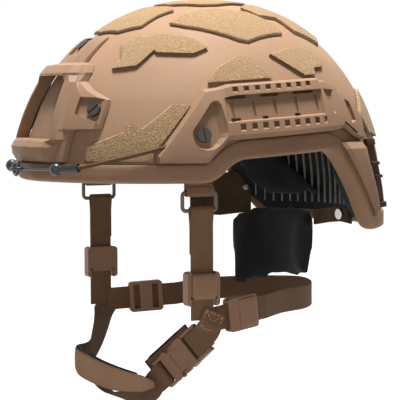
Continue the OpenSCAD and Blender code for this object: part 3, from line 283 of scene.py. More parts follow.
class Finish:
    """A material, with short ways to colour it, roughen it and give it a relief."""

    def __init__(self, name, colour, roughness, specular, sheen=0, metal=0):
        self.material = bpy.data.materials.new(name)
        self.material.use_nodes = True
        self.tree = self.material.node_tree
        self.shader = self.tree.nodes["Principled BSDF"]
        for key, value in (("Base Color", (*colour, 1)), ("Roughness", roughness),
                           ("Specular IOR Level", specular), ("Sheen Weight", sheen), ("Metallic", metal)):
            self.shader.inputs[key].default_value = value
        self.place = self.node("TexCoord").outputs["Object"]

    def node(self, kind, inputs=None, **values):
        return wired(self.tree, kind, inputs, **values)

    def feed(self, source, name):
        self.tree.links.new(source, self.shader.inputs[name])

    def noise(self, scale, detail, rough=0.5):
        inputs = {"Scale": scale, "Detail": detail, "Roughness": rough, "Vector": self.place}
        return self.node("TexNoise", inputs).outputs["Fac"]

    def cells(self, scale, feature="F1"):
        inputs = {"Scale": scale, "Vector": self.place}
        return self.node("TexVoronoi", inputs, feature=feature).outputs["Distance"]

    def sums(self, operation, a, b=0):
        return self.node("Math", {0: a, 1: b}, operation=operation).outputs[0]

    def fade(self, source, low, high, to_low=0.0, to_high=1.0):
        inputs = {"Value": source, "From Min": low, "From Max": high, "To Min": to_low, "To Max": to_high}
        return self.node("MapRange", inputs).outputs["Result"]

    def blend_colour(self, share, other):
        """Mixes other into the colour so far, by share."""
        base = self.shader.inputs["Base Color"]
        so_far = base.links[0].from_socket if base.is_linked else base.default_value
        inputs = {"A": so_far, "B": (*other, 1), "Factor": share}
        self.feed(self.node("Mix", inputs, data_type="RGBA").outputs["Result"], "Base Color")

    def mottle(self, scale, detail, low, high, other, most=1.0):
        """Mixes other in where a noise rises from low to high."""
        self.blend_colour(self.fade(self.noise(scale, detail), low, high, 0, most), other)

    def rough(self, scale, low, high):
        """Lets the roughness wander from low to high."""
        self.feed(self.fade(self.noise(scale, 3), 0.3, 0.7, low, high), "Roughness")

    def bump(self, source, depth, strength=1.0):
        """Adds a relief of that depth in metres on top of what is there."""
        inputs = {"Strength": strength, "Distance": depth, "Height": source}
        normal = self.shader.inputs["Normal"]
        if normal.is_linked:
            inputs["Normal"] = normal.links[0].from_socket
        self.feed(self.node("Bump", inputs).outputs["Normal"], "Normal")

    def grain(self, scale, depth, strength, detail=2):
        self.bump(self.noise(scale, detail), depth, strength)

    def on(self, piece, slot, node=None):
        """Gives the piece this finish and hides the node that it stands for; the slot is not used."""
        if node:
            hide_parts(node)
        piece.data.materials.clear()
        piece.data.materials.append(self.material)


shell_paint = Finish("shell_paint", SHELL_COLOUR, 0.72, 0.15)
shell_paint.mottle(9, 4, 0.35, 0.7, SHELL_PALE)
grit = shell_paint.noise(900, 2, 0.6)
shell_paint.blend_colour(shell_paint.fade(grit, 0.5, 0.72, 0, 0.35), (0.30, 0.19, 0.12))
shell_paint.rough(60, 0.58, 0.76)
shell_paint.bump(grit, 0.00022, 0.7)
shell_paint.grain(170, 0.0003, 0.35, 3)

SHELL_TURN = [-90 + k for k in range(360)]
WALL_LEVELS = 8
DOME_LEVELS = [26 + k * 2.67 for k in range(24)]
LOW_LEVEL_Z = 0.034


def shell_column(angle, o):
    slope = rim_slope(angle)
    edge = rim_pt(angle, EDGE_GAP, o)
    b = angle - EDGE_GAP * slope / math.sqrt(1 + slope * slope) / rim_run(angle)
    column = [edge]
    for k in range(1, WALL_LEVELS + 1):
        column.append(ring_pt(b, edge[2] + (LOW_LEVEL_Z - edge[2]) * k / WALL_LEVELS, o))
    for p in DOME_LEVELS[1:]:
        column.append(ring_pt(b, -DOME_DROP + (DOME_H + o) * math.sin(math.radians(p)), o))
    return column


shell_points = [p for o in (0, -SHELL_T) for a in SHELL_TURN for p in shell_column(a, o)]
col = len(shell_column(0, 0))
turns = len(SHELL_TURN)
skin = turns * col
shell_faces = []
for i in range(turns):
    n = (i + 1) % turns
    for j in range(col - 1):
        a, b = i * col + j, n * col + j
        shell_faces.append((a, b, b + 1, a + 1))
        shell_faces.append((skin + a, skin + a + 1, skin + b + 1, skin + b))
    shell_faces.append((i * col, skin + i * col, skin + n * col, n * col))
    shell_faces.append((i * col + col - 1, n * col + col - 1, 2 * skin))
    shell_faces.append((skin + i * col + col - 1, 2 * skin + 1, skin + n * col + col - 1))
shell_points += [(0, MID_Y, CROWN_H), (0, MID_Y, CROWN_H - SHELL_T)]
shell = solid("shell_dome", shell_points, shell_faces)
shell_paint.on(shell, "shell_tan", "shell")

# The trim is an extruded rubber channel pushed over the rim and bonded all
# round, with a rounded foot and thin lips inside and outside.
TRIM_H = 0.0145
TRIM_T = 0.0025
TRIM_PLAY = 0.0005
TRIM_FOOT = 0.0032
trim_rubber = Finish("trim_rubber", (0.33, 0.192, 0.115), 0.6, 0.2)
trim_rubber.mottle(14, 3, 0.35, 0.7, (0.28, 0.16, 0.095))
trim_rubber.mottle(420, 2, 0.45, 0.75, (0.38, 0.23, 0.145), 0.3)
trim_rubber.rough(40, 0.5, 0.7)
trim_rubber.grain(650, 0.0001, 0.5)


def trim_ring(angle):
    outer = TRIM_T + SEAT
    inner = -SHELL_T - TRIM_PLAY - TRIM_T
    middle = (outer + inner) / 2
    half = (outer - inner) / 2
    swings = [math.radians(15 * k) for k in range(13)]
    foot = [(max(0, TRIM_FOOT - TRIM_FOOT * math.sin(a)), middle - half * math.cos(a)) for a in swings]
    profile = [(0.0068, inner), *foot, (0.0068, outer), (0.0105, outer),
               (TRIM_H - 0.0012, outer), (TRIM_H - 0.0003, outer - 0.0005), (TRIM_H, outer - 0.0013),
               (TRIM_H - 0.0001, 0.0008), (TRIM_H - 0.0006, TRIM_PLAY), (TRIM_T, TRIM_PLAY),
               (TRIM_T, -SHELL_T - TRIM_PLAY), (TRIM_H, -SHELL_T - TRIM_PLAY),
               (TRIM_H - 0.0002, inner + 0.0008), (TRIM_H - 0.0012, inner)]
    return [rim_pt(angle, d, o) for d, o in profile]


def stacked(stacks, loop=False):
    """The points and faces of closed skins, each along like rings, capped or joined up."""
    points = []
    faces = []
    for rings in stacks:
        start, m, n = len(points), len(rings), len(rings[0])
        points += [p for ring in rings for p in ring]
        for i in range(m if loop else m - 1):
            for j in range(n):
                a, b, k = start + i * n, start + (i + 1) % m * n, (j + 1) % n
                faces.append((a + j, b + j, b + k, a + k))
        if not loop:
            faces.append(tuple(start + j for j in range(n)))
            faces.append(tuple(start + (m - 1) * n + j for j in range(n)))
    return points, faces


def loft(name, rings, loop=False, body="root", smooth=True):
    return solid(name, *stacked([rings], loop), body, smooth)


trim = loft("rubber_trim", [trim_ring(angle) for angle in SHELL_TURN], loop=True)
trim_rubber.on(trim, "trim_coyote", "edge_trim")

# The hard pieces: mouldings, screws and fittings keep the shape that they are
# made to. Each is worked over: edges rounded, long faces laid on the skin.
SHARP = math.radians(13)


def skin_offset(p):
    """How far a point lies outside the shell's outer skin, square to it."""
    low, high = -0.03, 0.04
    for _ in range(26):
        mid = (low + high) / 2
        along = abs((p[1] - MID_Y) / (reach_at(p[1]) + mid)) ** FULLNESS
        if (p[0] / (HALF_W + mid)) ** 2 + along + lift(p[2], mid) > 1:
            low = mid
        else:
            high = mid
    return (low + high) / 2


def skin_normal(p):
    reach = reach_at(p[1])
    y = p[1] - MID_Y
    g = Vector((
        2 * p[0] / HALF_W ** 2,
        math.copysign(FULLNESS / reach * (abs(y) / reach) ** (FULLNESS - 1), y),
        2 * max(0.0, p[2] + DOME_DROP) / DOME_H ** 2,
    ))
    return g.normalized()


def round_edges(bm, edge):
    """Rounds each sharp edge of the mesh by edge."""
    bmesh.ops.remove_doubles(bm, verts=bm.verts, dist=0.00001)
    bmesh.ops.dissolve_limit(bm, angle_limit=math.radians(0.6), verts=bm.verts, edges=bm.edges)
    sharp = [e for e in bm.edges if len(e.link_faces) == 2 and e.calc_face_angle(0) > SHARP]
    if edge:
        bmesh.ops.bevel(bm, geom=sharp, offset=edge, offset_type="OFFSET", segments=2, profile=0.5,
                        affect="EDGES", clamp_overlap=True)


def cut_long(bm, cell):
    """Splits the mesh's faces until no edge is longer than cell."""
    bmesh.ops.triangulate(bm, faces=bm.faces)
    for _ in range(5):
        long = [e for e in bm.edges if e.calc_length() > cell]
        if not long:
            break
        bmesh.ops.subdivide_edges(bm, edges=long, cuts=1)
        bmesh.ops.triangulate(bm, faces=[f for f in bm.faces if len(f.verts) > 3])


def worked(name, node, edge, cell=None):
    """The CAD piece with its edges rounded by edge and, with a cell, its faces laid on the skin."""
    bm = opened(NODE[node].data)
    round_edges(bm, edge)
    if cell:
        layer = bm.verts.layers.float.new("offset")
        for v in bm.verts:
            v[layer] = skin_offset(v.co)
        cut_long(bm, cell)
        for v in bm.verts:
            for _ in range(2):
                v.co += skin_normal(v.co) * (v[layer] - skin_offset(v.co))
    return made_piece(name, node, bm)


def made_piece(name, node, bm):
    """A crisp piece from the mesh, in the node's place."""
    mesh = bpy.data.meshes.new(name)
    bm.to_mesh(mesh)
    bm.free()
    piece = placed(name, mesh)
    mesh.shade_smooth()
    mesh.set_sharp_from_angle(angle=math.radians(50))
    flat = piece.modifiers.new("flat_faces", "WEIGHTED_NORMAL")
    flat.keep_sharp = True
    flat.weight = 100
    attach(piece, BODY_OF[node])
    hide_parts(node)
    return piece


def pair(stem):
    return [stem + "_left", stem + "_right"]


def finished(nodes, finish, slot, edge, cell=None, suffix="_body"):
    """Works each node's piece over and gives it its finish."""
    for node in nodes:
        finish.on(worked(node + suffix, node, edge, cell), slot)


SKIN_CELL = 0.006
MOULD_EDGE = 0.0007
PART_EDGE = 0.0006
METAL_EDGE = 0.0004
HOOK_EDGE = 0.0003
rail_plastic = Finish("rail_plastic", (0.30, 0.178, 0.106), 0.55, 0.22)
rail_plastic.mottle(18, 3, 0.35, 0.7, (0.325, 0.195, 0.12))
rail_plastic.rough(90, 0.46, 0.64)
rail_plastic.grain(1100, 0.00009, 0.6)

finished(["nvg_shroud"], rail_plastic, "shell_tan", MOULD_EDGE, SKIN_CELL)
finished(pair("rear_rail"), rail_plastic, "rail_tan", MOULD_EDGE, SKIN_CELL)

# Each side rail is a nylon moulding: a front plate with a well for its screw,
# a grooved panel between two notched ridges, and an arm round to the back. It
# is drawn flat, as place along the shell, height and rise, then laid on it.
MM = 0.001
RAIL_SHARES = (0, 0.09, 0.32, 0.34, 0.78, 0.80, 0.965, 1)
PLATE_RISE = (5, 8, 8.3, 8.3, 8.3, 8.3, 8, 5)
RAMP_RISE = (5.5, 8.3, 8.3, 6.3, 6.3, 8.3, 8.3, 6)
RIDGE_RISE = (6.5, 11, 11, 6.5, 6.5, 11, 11, 8)
BEND_RISE = (6, 8.8, 9, 9, 9, 9, 8.8, 6)
ARM_RISE = (4, 6.8, 7, 7, 7, 7, 6.5, 4)
RAIL_FOOT = ((-87, -52, -35.4, 56, 67, 69, 74, 80, 87, 93),
             (15.5, 15.5, 32.1, 38.3, 40, 41.1, 38, 33.5, 31, 31))
RAIL_TOP = ((-87, -48.6, -35.5, -28, 48, 50, 56, 67, 69, 74, 80, 87, 93),
            (21, 70.1, 72, 74.3, 79, 77.5, 77, 71.5, 69, 67.5, 64, 60, 50))
RAIL_STATIONS = (
    (PLATE_RISE, (-87, -80, -70, -60, -52, -48.6, -42, -35.5)),
    (RAMP_RISE, (-33.8,)),
    (RIDGE_RISE, (-28, -16, -3, 10, 23, 36, 48)),
    (BEND_RISE, (50, 56, 67)),
    (ARM_RISE, (69, 74, 80, 87, 93)),
)


def rail_foot(y):
    return float(np.interp(y, *RAIL_FOOT))


def rail_row(y, rise):
    foot = rail_foot(y)
    high = float(np.interp(y, *RAIL_TOP))
    front = [(y, foot + (high - foot) * s, r) for s, r in zip(RAIL_SHARES, rise)]
    return front + [(y, z, 0.3) for _, z, _ in reversed(front)]


def level(outline, rise):
    return [(y, z, rise) for y, z in outline]


def sunk(outline, floor_at, depth, rim):
    """A tapered cutter from a floor outline at that rise to a rim outline and out."""
    return [level(floor_at, depth), level(outline, rim), level(outline, CLEAR_RISE)]


def circle(r, step):
    return [(r * math.cos(math.radians(a)), r * math.sin(math.radians(a))) for a in range(0, 360, step)]


def beside(y, places):
    """An outline about y, its heights taken from the rail's foot."""
    return [(y + across, rail_foot(y) + over) for across, over in places]


def slotted(y0, y1, low, high, depth, top):
    """A cutter along the rail between two heights over its foot."""
    outline = [(y0, rail_foot(y0) + low), (y1, rail_foot(y1) + low),
               (y1, rail_foot(y1) + high), (y0, rail_foot(y0) + high)]
    return [level(outline, depth), level(outline, top)]


CLEAR_RISE = 15
RIDGE_TOP = 11.05
WELL_RIM = [(-43.8, 61.8), (-40.6, 61.8), (-38.7, 59.5), (-35.8, 38.5), (-37.5, 34.5), (-43, 28.8),
            (-48, 25.8), (-53.1, 24.9), (-58, 26.3), (-61.5, 30), (-62.9, 35), (-62.2, 40), (-46, 60.5)]
WELL_FLOOR = [(-43.4, 60), (-42.4, 60), (-41.8, 57), (-41, 37), (-41.6, 34), (-44.6, 29.8), (-48, 27),
              (-53.1, 26.2), (-57.5, 27.5), (-60.5, 31), (-61.6, 35), (-61, 39.5), (-45, 59)]
HIGH_RIM = [(-2.2, 35), (2.2, 35.3), (2.2, 39.8), (-2.2, 39.5)]
HIGH_FLOOR = [(-1.2, 36.6), (1.9, 36.8), (1.9, 39.4), (-1.2, 39.2)]
LOW_RIM = [(-2.3, 6.2), (2.3, 6.5), (2.3, 12), (-2.3, 11.7)]
LOW_FLOOR = [(-0.6, 8.6), (2, 8.8), (2, 11.6), (-0.6, 11.4)]
BEND_RIM = [(51.8, 71), (63, 70), (62.4, 66), (61.2, 52), (58.6, 51.5), (56, 58)]
BEND_FLOOR = [(53.4, 69.4), (60.2, 68.8), (59.8, 65), (59.3, 53.5), (58.8, 53.2), (56.8, 58.5)]
ARM_RIM = [(74.6, 63.5), (80.5, 60.5), (84.5, 45.5), (79, 43.5)]
ARM_FLOOR = [(75.8, 62), (79.6, 59.8), (83, 46.5), (79.4, 45)]
ARM_SLOT = [(70, 45.8), (74.5, 43.2), (84.6, 36.4), (82.6, 35.2), (76, 40), (70.6, 43.4)]
SCREW_HOLE = [(y - 52, z + 35) for y, z in circle(3, 24)]
BORE_MIDDLES = ((-93, 23.9, 5), (-84, 26.6, 4.3), (-73, 28.8, 4.2))
rail_cuts = [sunk(WELL_RIM, WELL_FLOOR, 3, 8.3), [level(SCREW_HOLE, -1), level(SCREW_HOLE, 3.6)]]
for count, first, step, rim, floor_at, depth in ((8, -26.7, 9.11, HIGH_RIM, HIGH_FLOOR, 7.9),
                                                 (9, -25.4, 9.2, LOW_RIM, LOW_FLOOR, 7.6)):
    for k in range(count):
        y = first + step * k
        rail_cuts.append(sunk(beside(y, rim), beside(y, floor_at), depth, RIDGE_TOP))
for y0, y1 in ((-32.6, -17.3), (-5, 10.7), (23.4, 42.8)):
    rail_cuts.append(slotted(y0, y1, 30.4, 35, 1.2, 7.4))
for y0, y1 in ((-32, -24.5), (-6.6, -1.8), (21.7, 26.7)):
    rail_cuts.append(slotted(y0, y1, 12.4, 16, 1.2, 7.4))
for y in (-30, -12.5, 5.5, 24.5, 44):
    low = 48.4 + 0.081 * (y + 30) - rail_foot(y)
    rail_cuts.append(slotted(y - 1.1, y + 1.1, low, low + 11.6, 5.3, 7.2))
rail_cuts.append(sunk(BEND_RIM, BEND_FLOOR, 6.2, 9.05))
rail_cuts.append(sunk(ARM_RIM, ARM_FLOOR, 4.6, 7.1))
rail_cuts.append(sunk(ARM_SLOT, ARM_SLOT, 1.2, 7.1))
rail_cuts.append([[(y, z + c, rise + s) for c, s in circle(2.1, 30)] for y, z, rise in BORE_MIDDLES])


def flat_solid(name, stacks):
    """Closed solids from stacks of rings, drawn flat in millimetres."""
    points, faces = stacked(stacks)
    made = solid(name, [tuple(c * MM for c in p) for p in points], faces, None, False)
    bm = opened(made.data)
    bmesh.ops.triangulate(bm, faces=bm.faces)
    bm.to_mesh(made.data)
    bm.free()
    return made


def shown(piece):
    """The piece as its modifiers make it."""
    bpy.context.view_layer.update()
    return piece.evaluated_get(bpy.context.evaluated_depsgraph_get())


def apply_all(piece):
    """Gives the piece the mesh that its modifiers make, and takes them off."""
    mesh = bpy.data.meshes.new_from_object(shown(piece))
    piece.modifiers.clear()
    piece.data = mesh


def carved(blank, cutter):
    """The mesh of blank with cutter taken out of it. Both are used up."""
    carving = blank.modifiers.new("carving", "BOOLEAN")
    carving.operation = "DIFFERENCE"
    carving.solver = "EXACT"
    carving.use_self = True
    carving.object = cutter
    apply_all(blank)
    bm = opened(blank.data)
    bpy.data.objects.remove(blank)
    bpy.data.objects.remove(cutter)
    bmesh.ops.remove_doubles(bm, verts=bm.verts, dist=0.00006)
    return bm


rail_flat = carved(
    flat_solid("rail_blank", [[rail_row(y, rise) for rise, places in RAIL_STATIONS for y in places]]),
    flat_solid("rail_cutter", rail_cuts))
round_edges(rail_flat, 0.0003)
cut_long(rail_flat, 0.005)
SIDES = (("left", 1), ("right", -1))
for side, flip in SIDES:
    bm = rail_flat.copy()
    for v in bm.verts:
        on_shell = side_pt(*v.co)
        v.co = Vector((flip * on_shell[0], on_shell[1], on_shell[2]))
    bmesh.ops.recalc_face_normals(bm, faces=bm.faces)
    rail_plastic.on(made_piece("rail_%s_body" % side, "rail_" + side, bm), "rail_tan")
rail_flat.free()

# Beside each rear rail lies a ribbed channel, moulded apart in brown nylon
# and held by the rail's own screws. Its near-black colour is painted shade:
# the shadow inside the recessed slot behind the rail.
channel_painted_shade = Finish("channel_painted_shade", (0.06, 0.03, 0.016), 0.8, 0.08)
channel_painted_shade.grain(900, 0.00009, 0.6)
finished(pair("rear_channel"), channel_painted_shade, "channel_brown", PART_EDGE, SKIN_CELL)

# Slotted screws with wide heads, of steel under a dark coating, go through the
# shroud, the rails and the shell.
screw_steel = Finish("screw_steel", (0.055, 0.05, 0.045), 0.38, 0.5, metal=0.6)
finished(["shroud_screws", "rail_screws", "rear_screws"], screw_steel, "screw_dark", METAL_EDGE)

# The harness's fittings are hard brown nylon: ladder adjusters, slide adjusters
# and the buckle's male half with its two spring prongs.
buckle_plastic = Finish("buckle_plastic", (0.29, 0.15, 0.083), 0.42, 0.35)
buckle_plastic.grain(800, 0.00006, 0.5)
finished([*pair("adjuster"), *pair("slider"), "buckle_male", "prong_low", "prong_high"],
         buckle_plastic, "buckle_brown", PART_EDGE)

# The cords' hooks are moulded in glossy black nylon. Each has a ball at the
# shroud and an end cap that grips its cord.
hook_plastic = Finish("hook_plastic", (0.012, 0.011, 0.011), 0.3, 0.5)
finished(pair("hook"), hook_plastic, "hook_black", HOOK_EDGE)

# A ring of bent wire, under a brown coating, hangs from each strap tab and
# carries the side strap.
ring_coat = Finish("ring_coat", (0.14, 0.085, 0.045), 0.28, 0.5)
finished(pair("ring"), ring_coat, "ring_brown", 0)

# Loop patches: a woven pile, cut to shape, fused at the edge and stuck on the
# shell. Each wearer's side has the like of the other.
loop_pile = Finish("loop_pile", (0.52, 0.34, 0.185), 0.95, 0.1, sheen=0.15)
tufts = loop_pile.cells(1500)
clumps = loop_pile.noise(520, 4, 0.7)
loop_pile.blend_colour(loop_pile.fade(tufts, 0.25, 0.75), (0.3, 0.178, 0.088))
loop_pile.blend_colour(loop_pile.fade(clumps, 0.52, 0.75, 0, 0.75), (0.7, 0.51, 0.3))
loop_pile.mottle(22, 2, 0.4, 0.7, (0.42, 0.27, 0.145), 0.5)
loop_pile.bump(tufts, 0.0005, 1.0)
loop_pile.bump(clumps, 0.0007, 0.8)
PILE_EDGE = 0.0007
PILE_CELL = 0.004
finished(["patch_front", "patch_crown", "patch_back", "patch_nape", "patches_upper", "patches_brow",
          "patches_side", "patches_ear", "patches_cheek"],
         loop_pile, "loop_sand", PILE_EDGE, PILE_CELL, "_pile")

# Elastic cord: rubber strands in a braided sleeve. Each runs from a bore in
# the side rail to the end cap of a hook. Here it is a fixed tube, which does
# not stretch when the hook is pulled.
CORD_D = 0.003
CORD = [Vector(p) / 1000 for p in (
    (67.4, -134.8, 12), (74, -128.8, 13.5), (82, -122, 15.8), (89, -114.4, 18), (95.2, -106.3, 20.3),
    (100.4, -98, 22.7),
)] + [side_pt(-0.090, 0.0248, 0.0049), side_pt(-0.084, 0.0266, 0.0043), side_pt(-0.074, 0.0286, 0.0042)]


def curve_through(points, steps):
    """Points of a smooth line through the given ones, as many steps between each two."""
    out = []
    last = len(points) - 1
    for i in range(last):
        a, b, c, d = (points[max(i - 1, 0)], points[i], points[i + 1], points[min(i + 2, last)])
        for k in range(steps):
            t = k / steps
            out.append(0.5 * (2 * b + (c - a) * t + (2 * a - 5 * b + 4 * c - d) * t * t
                              + (3 * b - a - 3 * c + d) * t * t * t))
    out.append(points[last].copy())
    return out


def set_uv(piece, columns, along, across):
    """Lays each vertex at its place across and along the piece, in metres."""
    uv = piece.data.uv_layers.new(name="run")
    for face in piece.data.polygons:
        for corner, k in zip(face.loop_indices, face.vertices):
            uv.data[corner].uv = (across[k % columns], along[min(k // columns, len(along) - 1)])


def runs(points):
    total = [0.0]
    for a, b in zip(points, points[1:]):
        total.append(total[-1] + (b - a).length)
    return total


def tube(name, points, diameter, sides=12, body=None):
    rings = []
    side = Vector((0, 0, 1))
    for i, p in enumerate(points):
        t = (points[min(i + 1, len(points) - 1)] - points[max(i - 1, 0)]).normalized()
        u = t.cross(side).normalized()
        v = t.cross(u)
        swings = [2 * math.pi * k / sides for k in range(sides)]
        rings.append([p + diameter / 2 * (u * math.cos(s) + v * math.sin(s)) for s in swings])
    piece = loft(name, rings, body=body)
    around = [math.pi * diameter * k / sides for k in range(sides)]
    set_uv(piece, sides, runs(points), around)
    return piece


cord_braid = Finish("cord_braid", (0.12, 0.066, 0.036), 0.85, 0.2)
wave = {"Scale": 420, "Vector": cord_braid.node("TexCoord").outputs["UV"]}
braid = cord_braid.node("TexWave", wave, wave_type="BANDS", bands_direction="DIAGONAL").outputs["Fac"]
cord_braid.blend_colour(cord_braid.fade(braid, 0.2, 0.8), (0.18, 0.105, 0.06))
cord_braid.bump(braid, 0.0003, 0.8)


def mirrored(points):
    return [Vector((-p[0], p[1], p[2])) for p in points]


ball_mid = Vector((0.0508, -0.1466, 0.0105))
cord_in = CORD[0] + (ball_mid - CORD[0]).normalized() * 0.006
for side, route in (("left", [cord_in, *CORD]), ("right", mirrored([cord_in, *CORD]))):
    piece = tube("cord_" + side, curve_through(route, 6), CORD_D)
    cord_braid.on(piece, "cord_brown", "bungee_" + side)
    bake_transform(piece)

# The harness is woven nylon webbing, 19 mm wide, folded round its wire rings
# and bars and sewn with a lighter thread. Lengths and folds follow the solids.
WEB_W = 0.019
WEB_T = 0.0016
PLY = WEB_T / 2 + 0.0001
TAB_W = 0.023
WIRE_D = 0.003
RING = Vector((HALF_W - SHELL_T - 0.015, -0.051, -0.014))
RING_H = 0.017
BAR_HIGH_Z = RING[2] + (RING_H - WIRE_D) / 2
BAR_LOW_Z = RING[2] - (RING_H - WIRE_D) / 2
WRAP_R = WIRE_D / 2 + SEAT + WEB_T / 2
STRAP_Y = RING[1] + 0.0015
LAYER = WEB_T + SEAT
JUNCTION_LEFT_Z = -0.100
JUNCTION_RIGHT_Z = -0.108
WARP = 0.0017
WEFT = 0.0013


def woven(finish, warp, weft, depth, other, share):
    """A plain weave from the piece's own lengths across and along it."""
    split = finish.node("SeparateXYZ", {0: finish.node("TexCoord").outputs["UV"]})
    across = finish.sums("MULTIPLY", split.outputs["X"], 2 * math.pi / warp)
    along = finish.sums("MULTIPLY", split.outputs["Y"], 2 * math.pi / weft)
    yarn = finish.sums("FLOOR", finish.sums("DIVIDE", split.outputs["X"], warp / 2))
    step = finish.sums("MULTIPLY", yarn, math.pi)
    rib = finish.sums("ABSOLUTE", finish.sums("SINE", across))
    knot = finish.sums("SINE", finish.sums("ADD", along, step))
    high = finish.sums("MULTIPLY", rib, finish.fade(knot, -1, 1, 0.25, 1))
    finish.blend_colour(finish.fade(high, 0.05, 0.5, share, 0), other)
    finish.bump(high, depth)


webbing = Finish("webbing", (0.33, 0.17, 0.084), 0.8, 0.25, sheen=0.15)
webbing.mottle(35, 3, 0.35, 0.7, (0.38, 0.21, 0.11))
woven(webbing, WARP, WEFT, 0.0005, (0.105, 0.052, 0.025), 0.95)


def strap(name, node, points, sides, body, width=WEB_W, thick=WEB_T, steps=4):
    """Flat webbing with round selvedges, swept along its points with its width along sides."""
    ways = [Vector(sides[min(i, len(sides) - 1)]).normalized() for i in range(len(points))]
    path = curve_through([Vector(p) for p in points], steps)
    turns_to = curve_through(ways, steps)
    r = thick / 2
    half = width / 2
    edge, drop = half - r * 0.3, r * 0.72
    section = [(half - r, r), (half * 0.5, r), (0, r), (-half * 0.5, r), (r - half, r), (-edge, drop),
               (-half, 0), (-edge, -drop), (r - half, -r), (-half * 0.5, -r), (0, -r), (half * 0.5, -r),
               (half - r, -r), (edge, -drop), (half, 0), (edge, drop)]
    rings = []
    for i, p in enumerate(path):
        t = (path[min(i + 1, len(path) - 1)] - path[max(i - 1, 0)]).normalized()
        s = turns_to[i].normalized()
        n = t.cross(s).normalized()
        rings.append([p + s * a + n * b for a, b in section])
    piece = loft(name, rings, body=body)
    across = [a + half for a, b in section]
    set_uv(piece, len(section), runs(path), across)
    piece.data.set_sharp_from_angle(angle=math.radians(60))
    webbing.on(piece, "webbing_brown", node)
    return piece


def around_bar(middle, first, last):
    swings = [math.radians(first + (last - first) * k / 6) for k in range(7)]
    return [Vector((middle[0] + WRAP_R * math.cos(a), middle[1], middle[2] + WRAP_R * math.sin(a)))
            for a in swings]


RAIL_SCREW = side_pt(-0.052, 0.035, 0)
screw_normal = skin_normal(RAIL_SCREW)
TAB_SIDE = Vector((-screw_normal[1], screw_normal[0], 0)).normalized()
TAB_OFF = -SHELL_T - TRIM_PLAY - TRIM_T - SEAT - WEB_T / 2
TAB_IN_X = RING[0] - PLY - 0.0007
tab_path = [(RING[0] + PLY, RING[1], -0.0005), (RING[0] + PLY, RING[1], -0.002),
            (RING[0] + WRAP_R * 0.8, RING[1], BAR_HIGH_Z + 0.0035),
            *around_bar((RING[0], RING[1], BAR_HIGH_Z), 0, -180),
            (RING[0] - WRAP_R * 0.8, RING[1], BAR_HIGH_Z + 0.0035),
            *[(TAB_IN_X, RING[1], z) for z in (0.002, 0.010, 0.016)],
            *[side_pt(RING[1], z, TAB_OFF) for z in (0.0205, 0.025, 0.036, 0.044)]]
tab_sides = [Vector((0, 1, 0))] * 11 + [(Vector((0, 1 - k, 0)) + TAB_SIDE * k) for k in (0.35, 0.7, 0.9, 1)]


def side_strap_path(junction_z):
    x, y = RING[0], STRAP_Y
    return [*[(x - PLY, y, z) for z in (-0.054, -0.042, -0.032)],
            (x - WRAP_R * 0.8, y, BAR_LOW_Z - 0.0035), *around_bar((x, y, BAR_LOW_Z), 180, 0),
            (x + WRAP_R * 0.8, y, BAR_LOW_Z - 0.0035),
            *[(x + PLY, y, z) for z in (-0.032, -0.045, -0.060, -0.075, -0.09, junction_z - 0.004)]]


for side, flip in (("left", list), ("right", mirrored)):
    points = flip([Vector(p) for p in tab_path])
    ways = flip(tab_sides)
    strap("tab_" + side, "strap_tab_" + side, points, ways, "root", TAB_W, steps=3)
    low = JUNCTION_LEFT_Z if side == "left" else JUNCTION_RIGHT_Z
    points = flip([Vector(p) for p in side_strap_path(low)])
    strap("side_web_" + side, "side_strap_" + side, points, [(0, -1, 0)], "root")

REAR_Y = -0.044
SLIDER_DIR = Vector((-0.25, 1, 0.12)).normalized()
RIGHT_DIR = Vector((-0.25, 1, 0.06)).normalized()
REAR_LEFT = Vector((RING[0] + PLY - LAYER, REAR_Y, JUNCTION_LEFT_Z - 0.005))
REAR_RIGHT = Vector((RING[0] + PLY - LAYER, REAR_Y, JUNCTION_RIGHT_Z))
NAPE_MID_Y = 0.017
NAPE_R = 0.0724


def rear_run(p, d, y):
    return p + d * ((y - p[1]) / d[1])


REAR_RUN_Y = (REAR_Y, -0.03, -0.012, 0.004, 0.010, 0.014)
nape_path = [rear_run(REAR_LEFT, SLIDER_DIR, y) for y in REAR_RUN_Y]
for a in (75, 50, 25, 0, -25, -50, -75):
    swing = math.radians(a)
    nape_path.append(Vector((NAPE_R * math.sin(swing), NAPE_MID_Y + NAPE_R * math.cos(swing),
                             -0.0955 - 0.003 * abs(a) / 75 + 0.0015 * a / 75)))
nape_path += mirrored([rear_run(REAR_RIGHT, RIGHT_DIR, y) for y in reversed(REAR_RUN_Y)])
strap("nape_web", "nape_strap", nape_path, [(0, 0, 1)], "root", steps=6)

MOUTH = Vector((0.076, -0.0628, -0.1418))
OUT_DIR = Vector((-0.587, -0.453, -0.671)).normalized()
face = Vector((0.63, -0.776, 0))
FACE_DIR = (face - OUT_DIR * face.dot(OUT_DIR)).normalized()
ACROSS_DIR = FACE_DIR.cross(OUT_DIR)
SOCKET_L = 0.022
BAR_D = 0.0034
STRAP_BAR_U = -SOCKET_L - 0.0045
ARM_END_U = -SOCKET_L - 0.0145
CHIN_WRAP = BAR_D / 2 + SEAT + WEB_T / 2
TOP_X = RING[0] + PLY + LAYER
END_BAR_U = 0.0095
END_WRAP = 0.0015 + SEAT + WEB_T / 2


def at_buckle(u, v, n):
    return MOUTH + OUT_DIR * u + ACROSS_DIR * v + FACE_DIR * n


def chin_start(x, junction_z):
    return [(x, STRAP_Y + 0.0099, junction_z + 0.0022), (x, STRAP_Y + 0.0075, junction_z - 0.0033)]


def round_bar(bar_u, wrap, first):
    """Half a turn round one of the buckle's bars."""
    swings = [math.radians(first - 30 * k) for k in range(7)]
    return [at_buckle(bar_u + wrap * math.cos(a), 0, wrap * math.sin(a)) for a in swings]


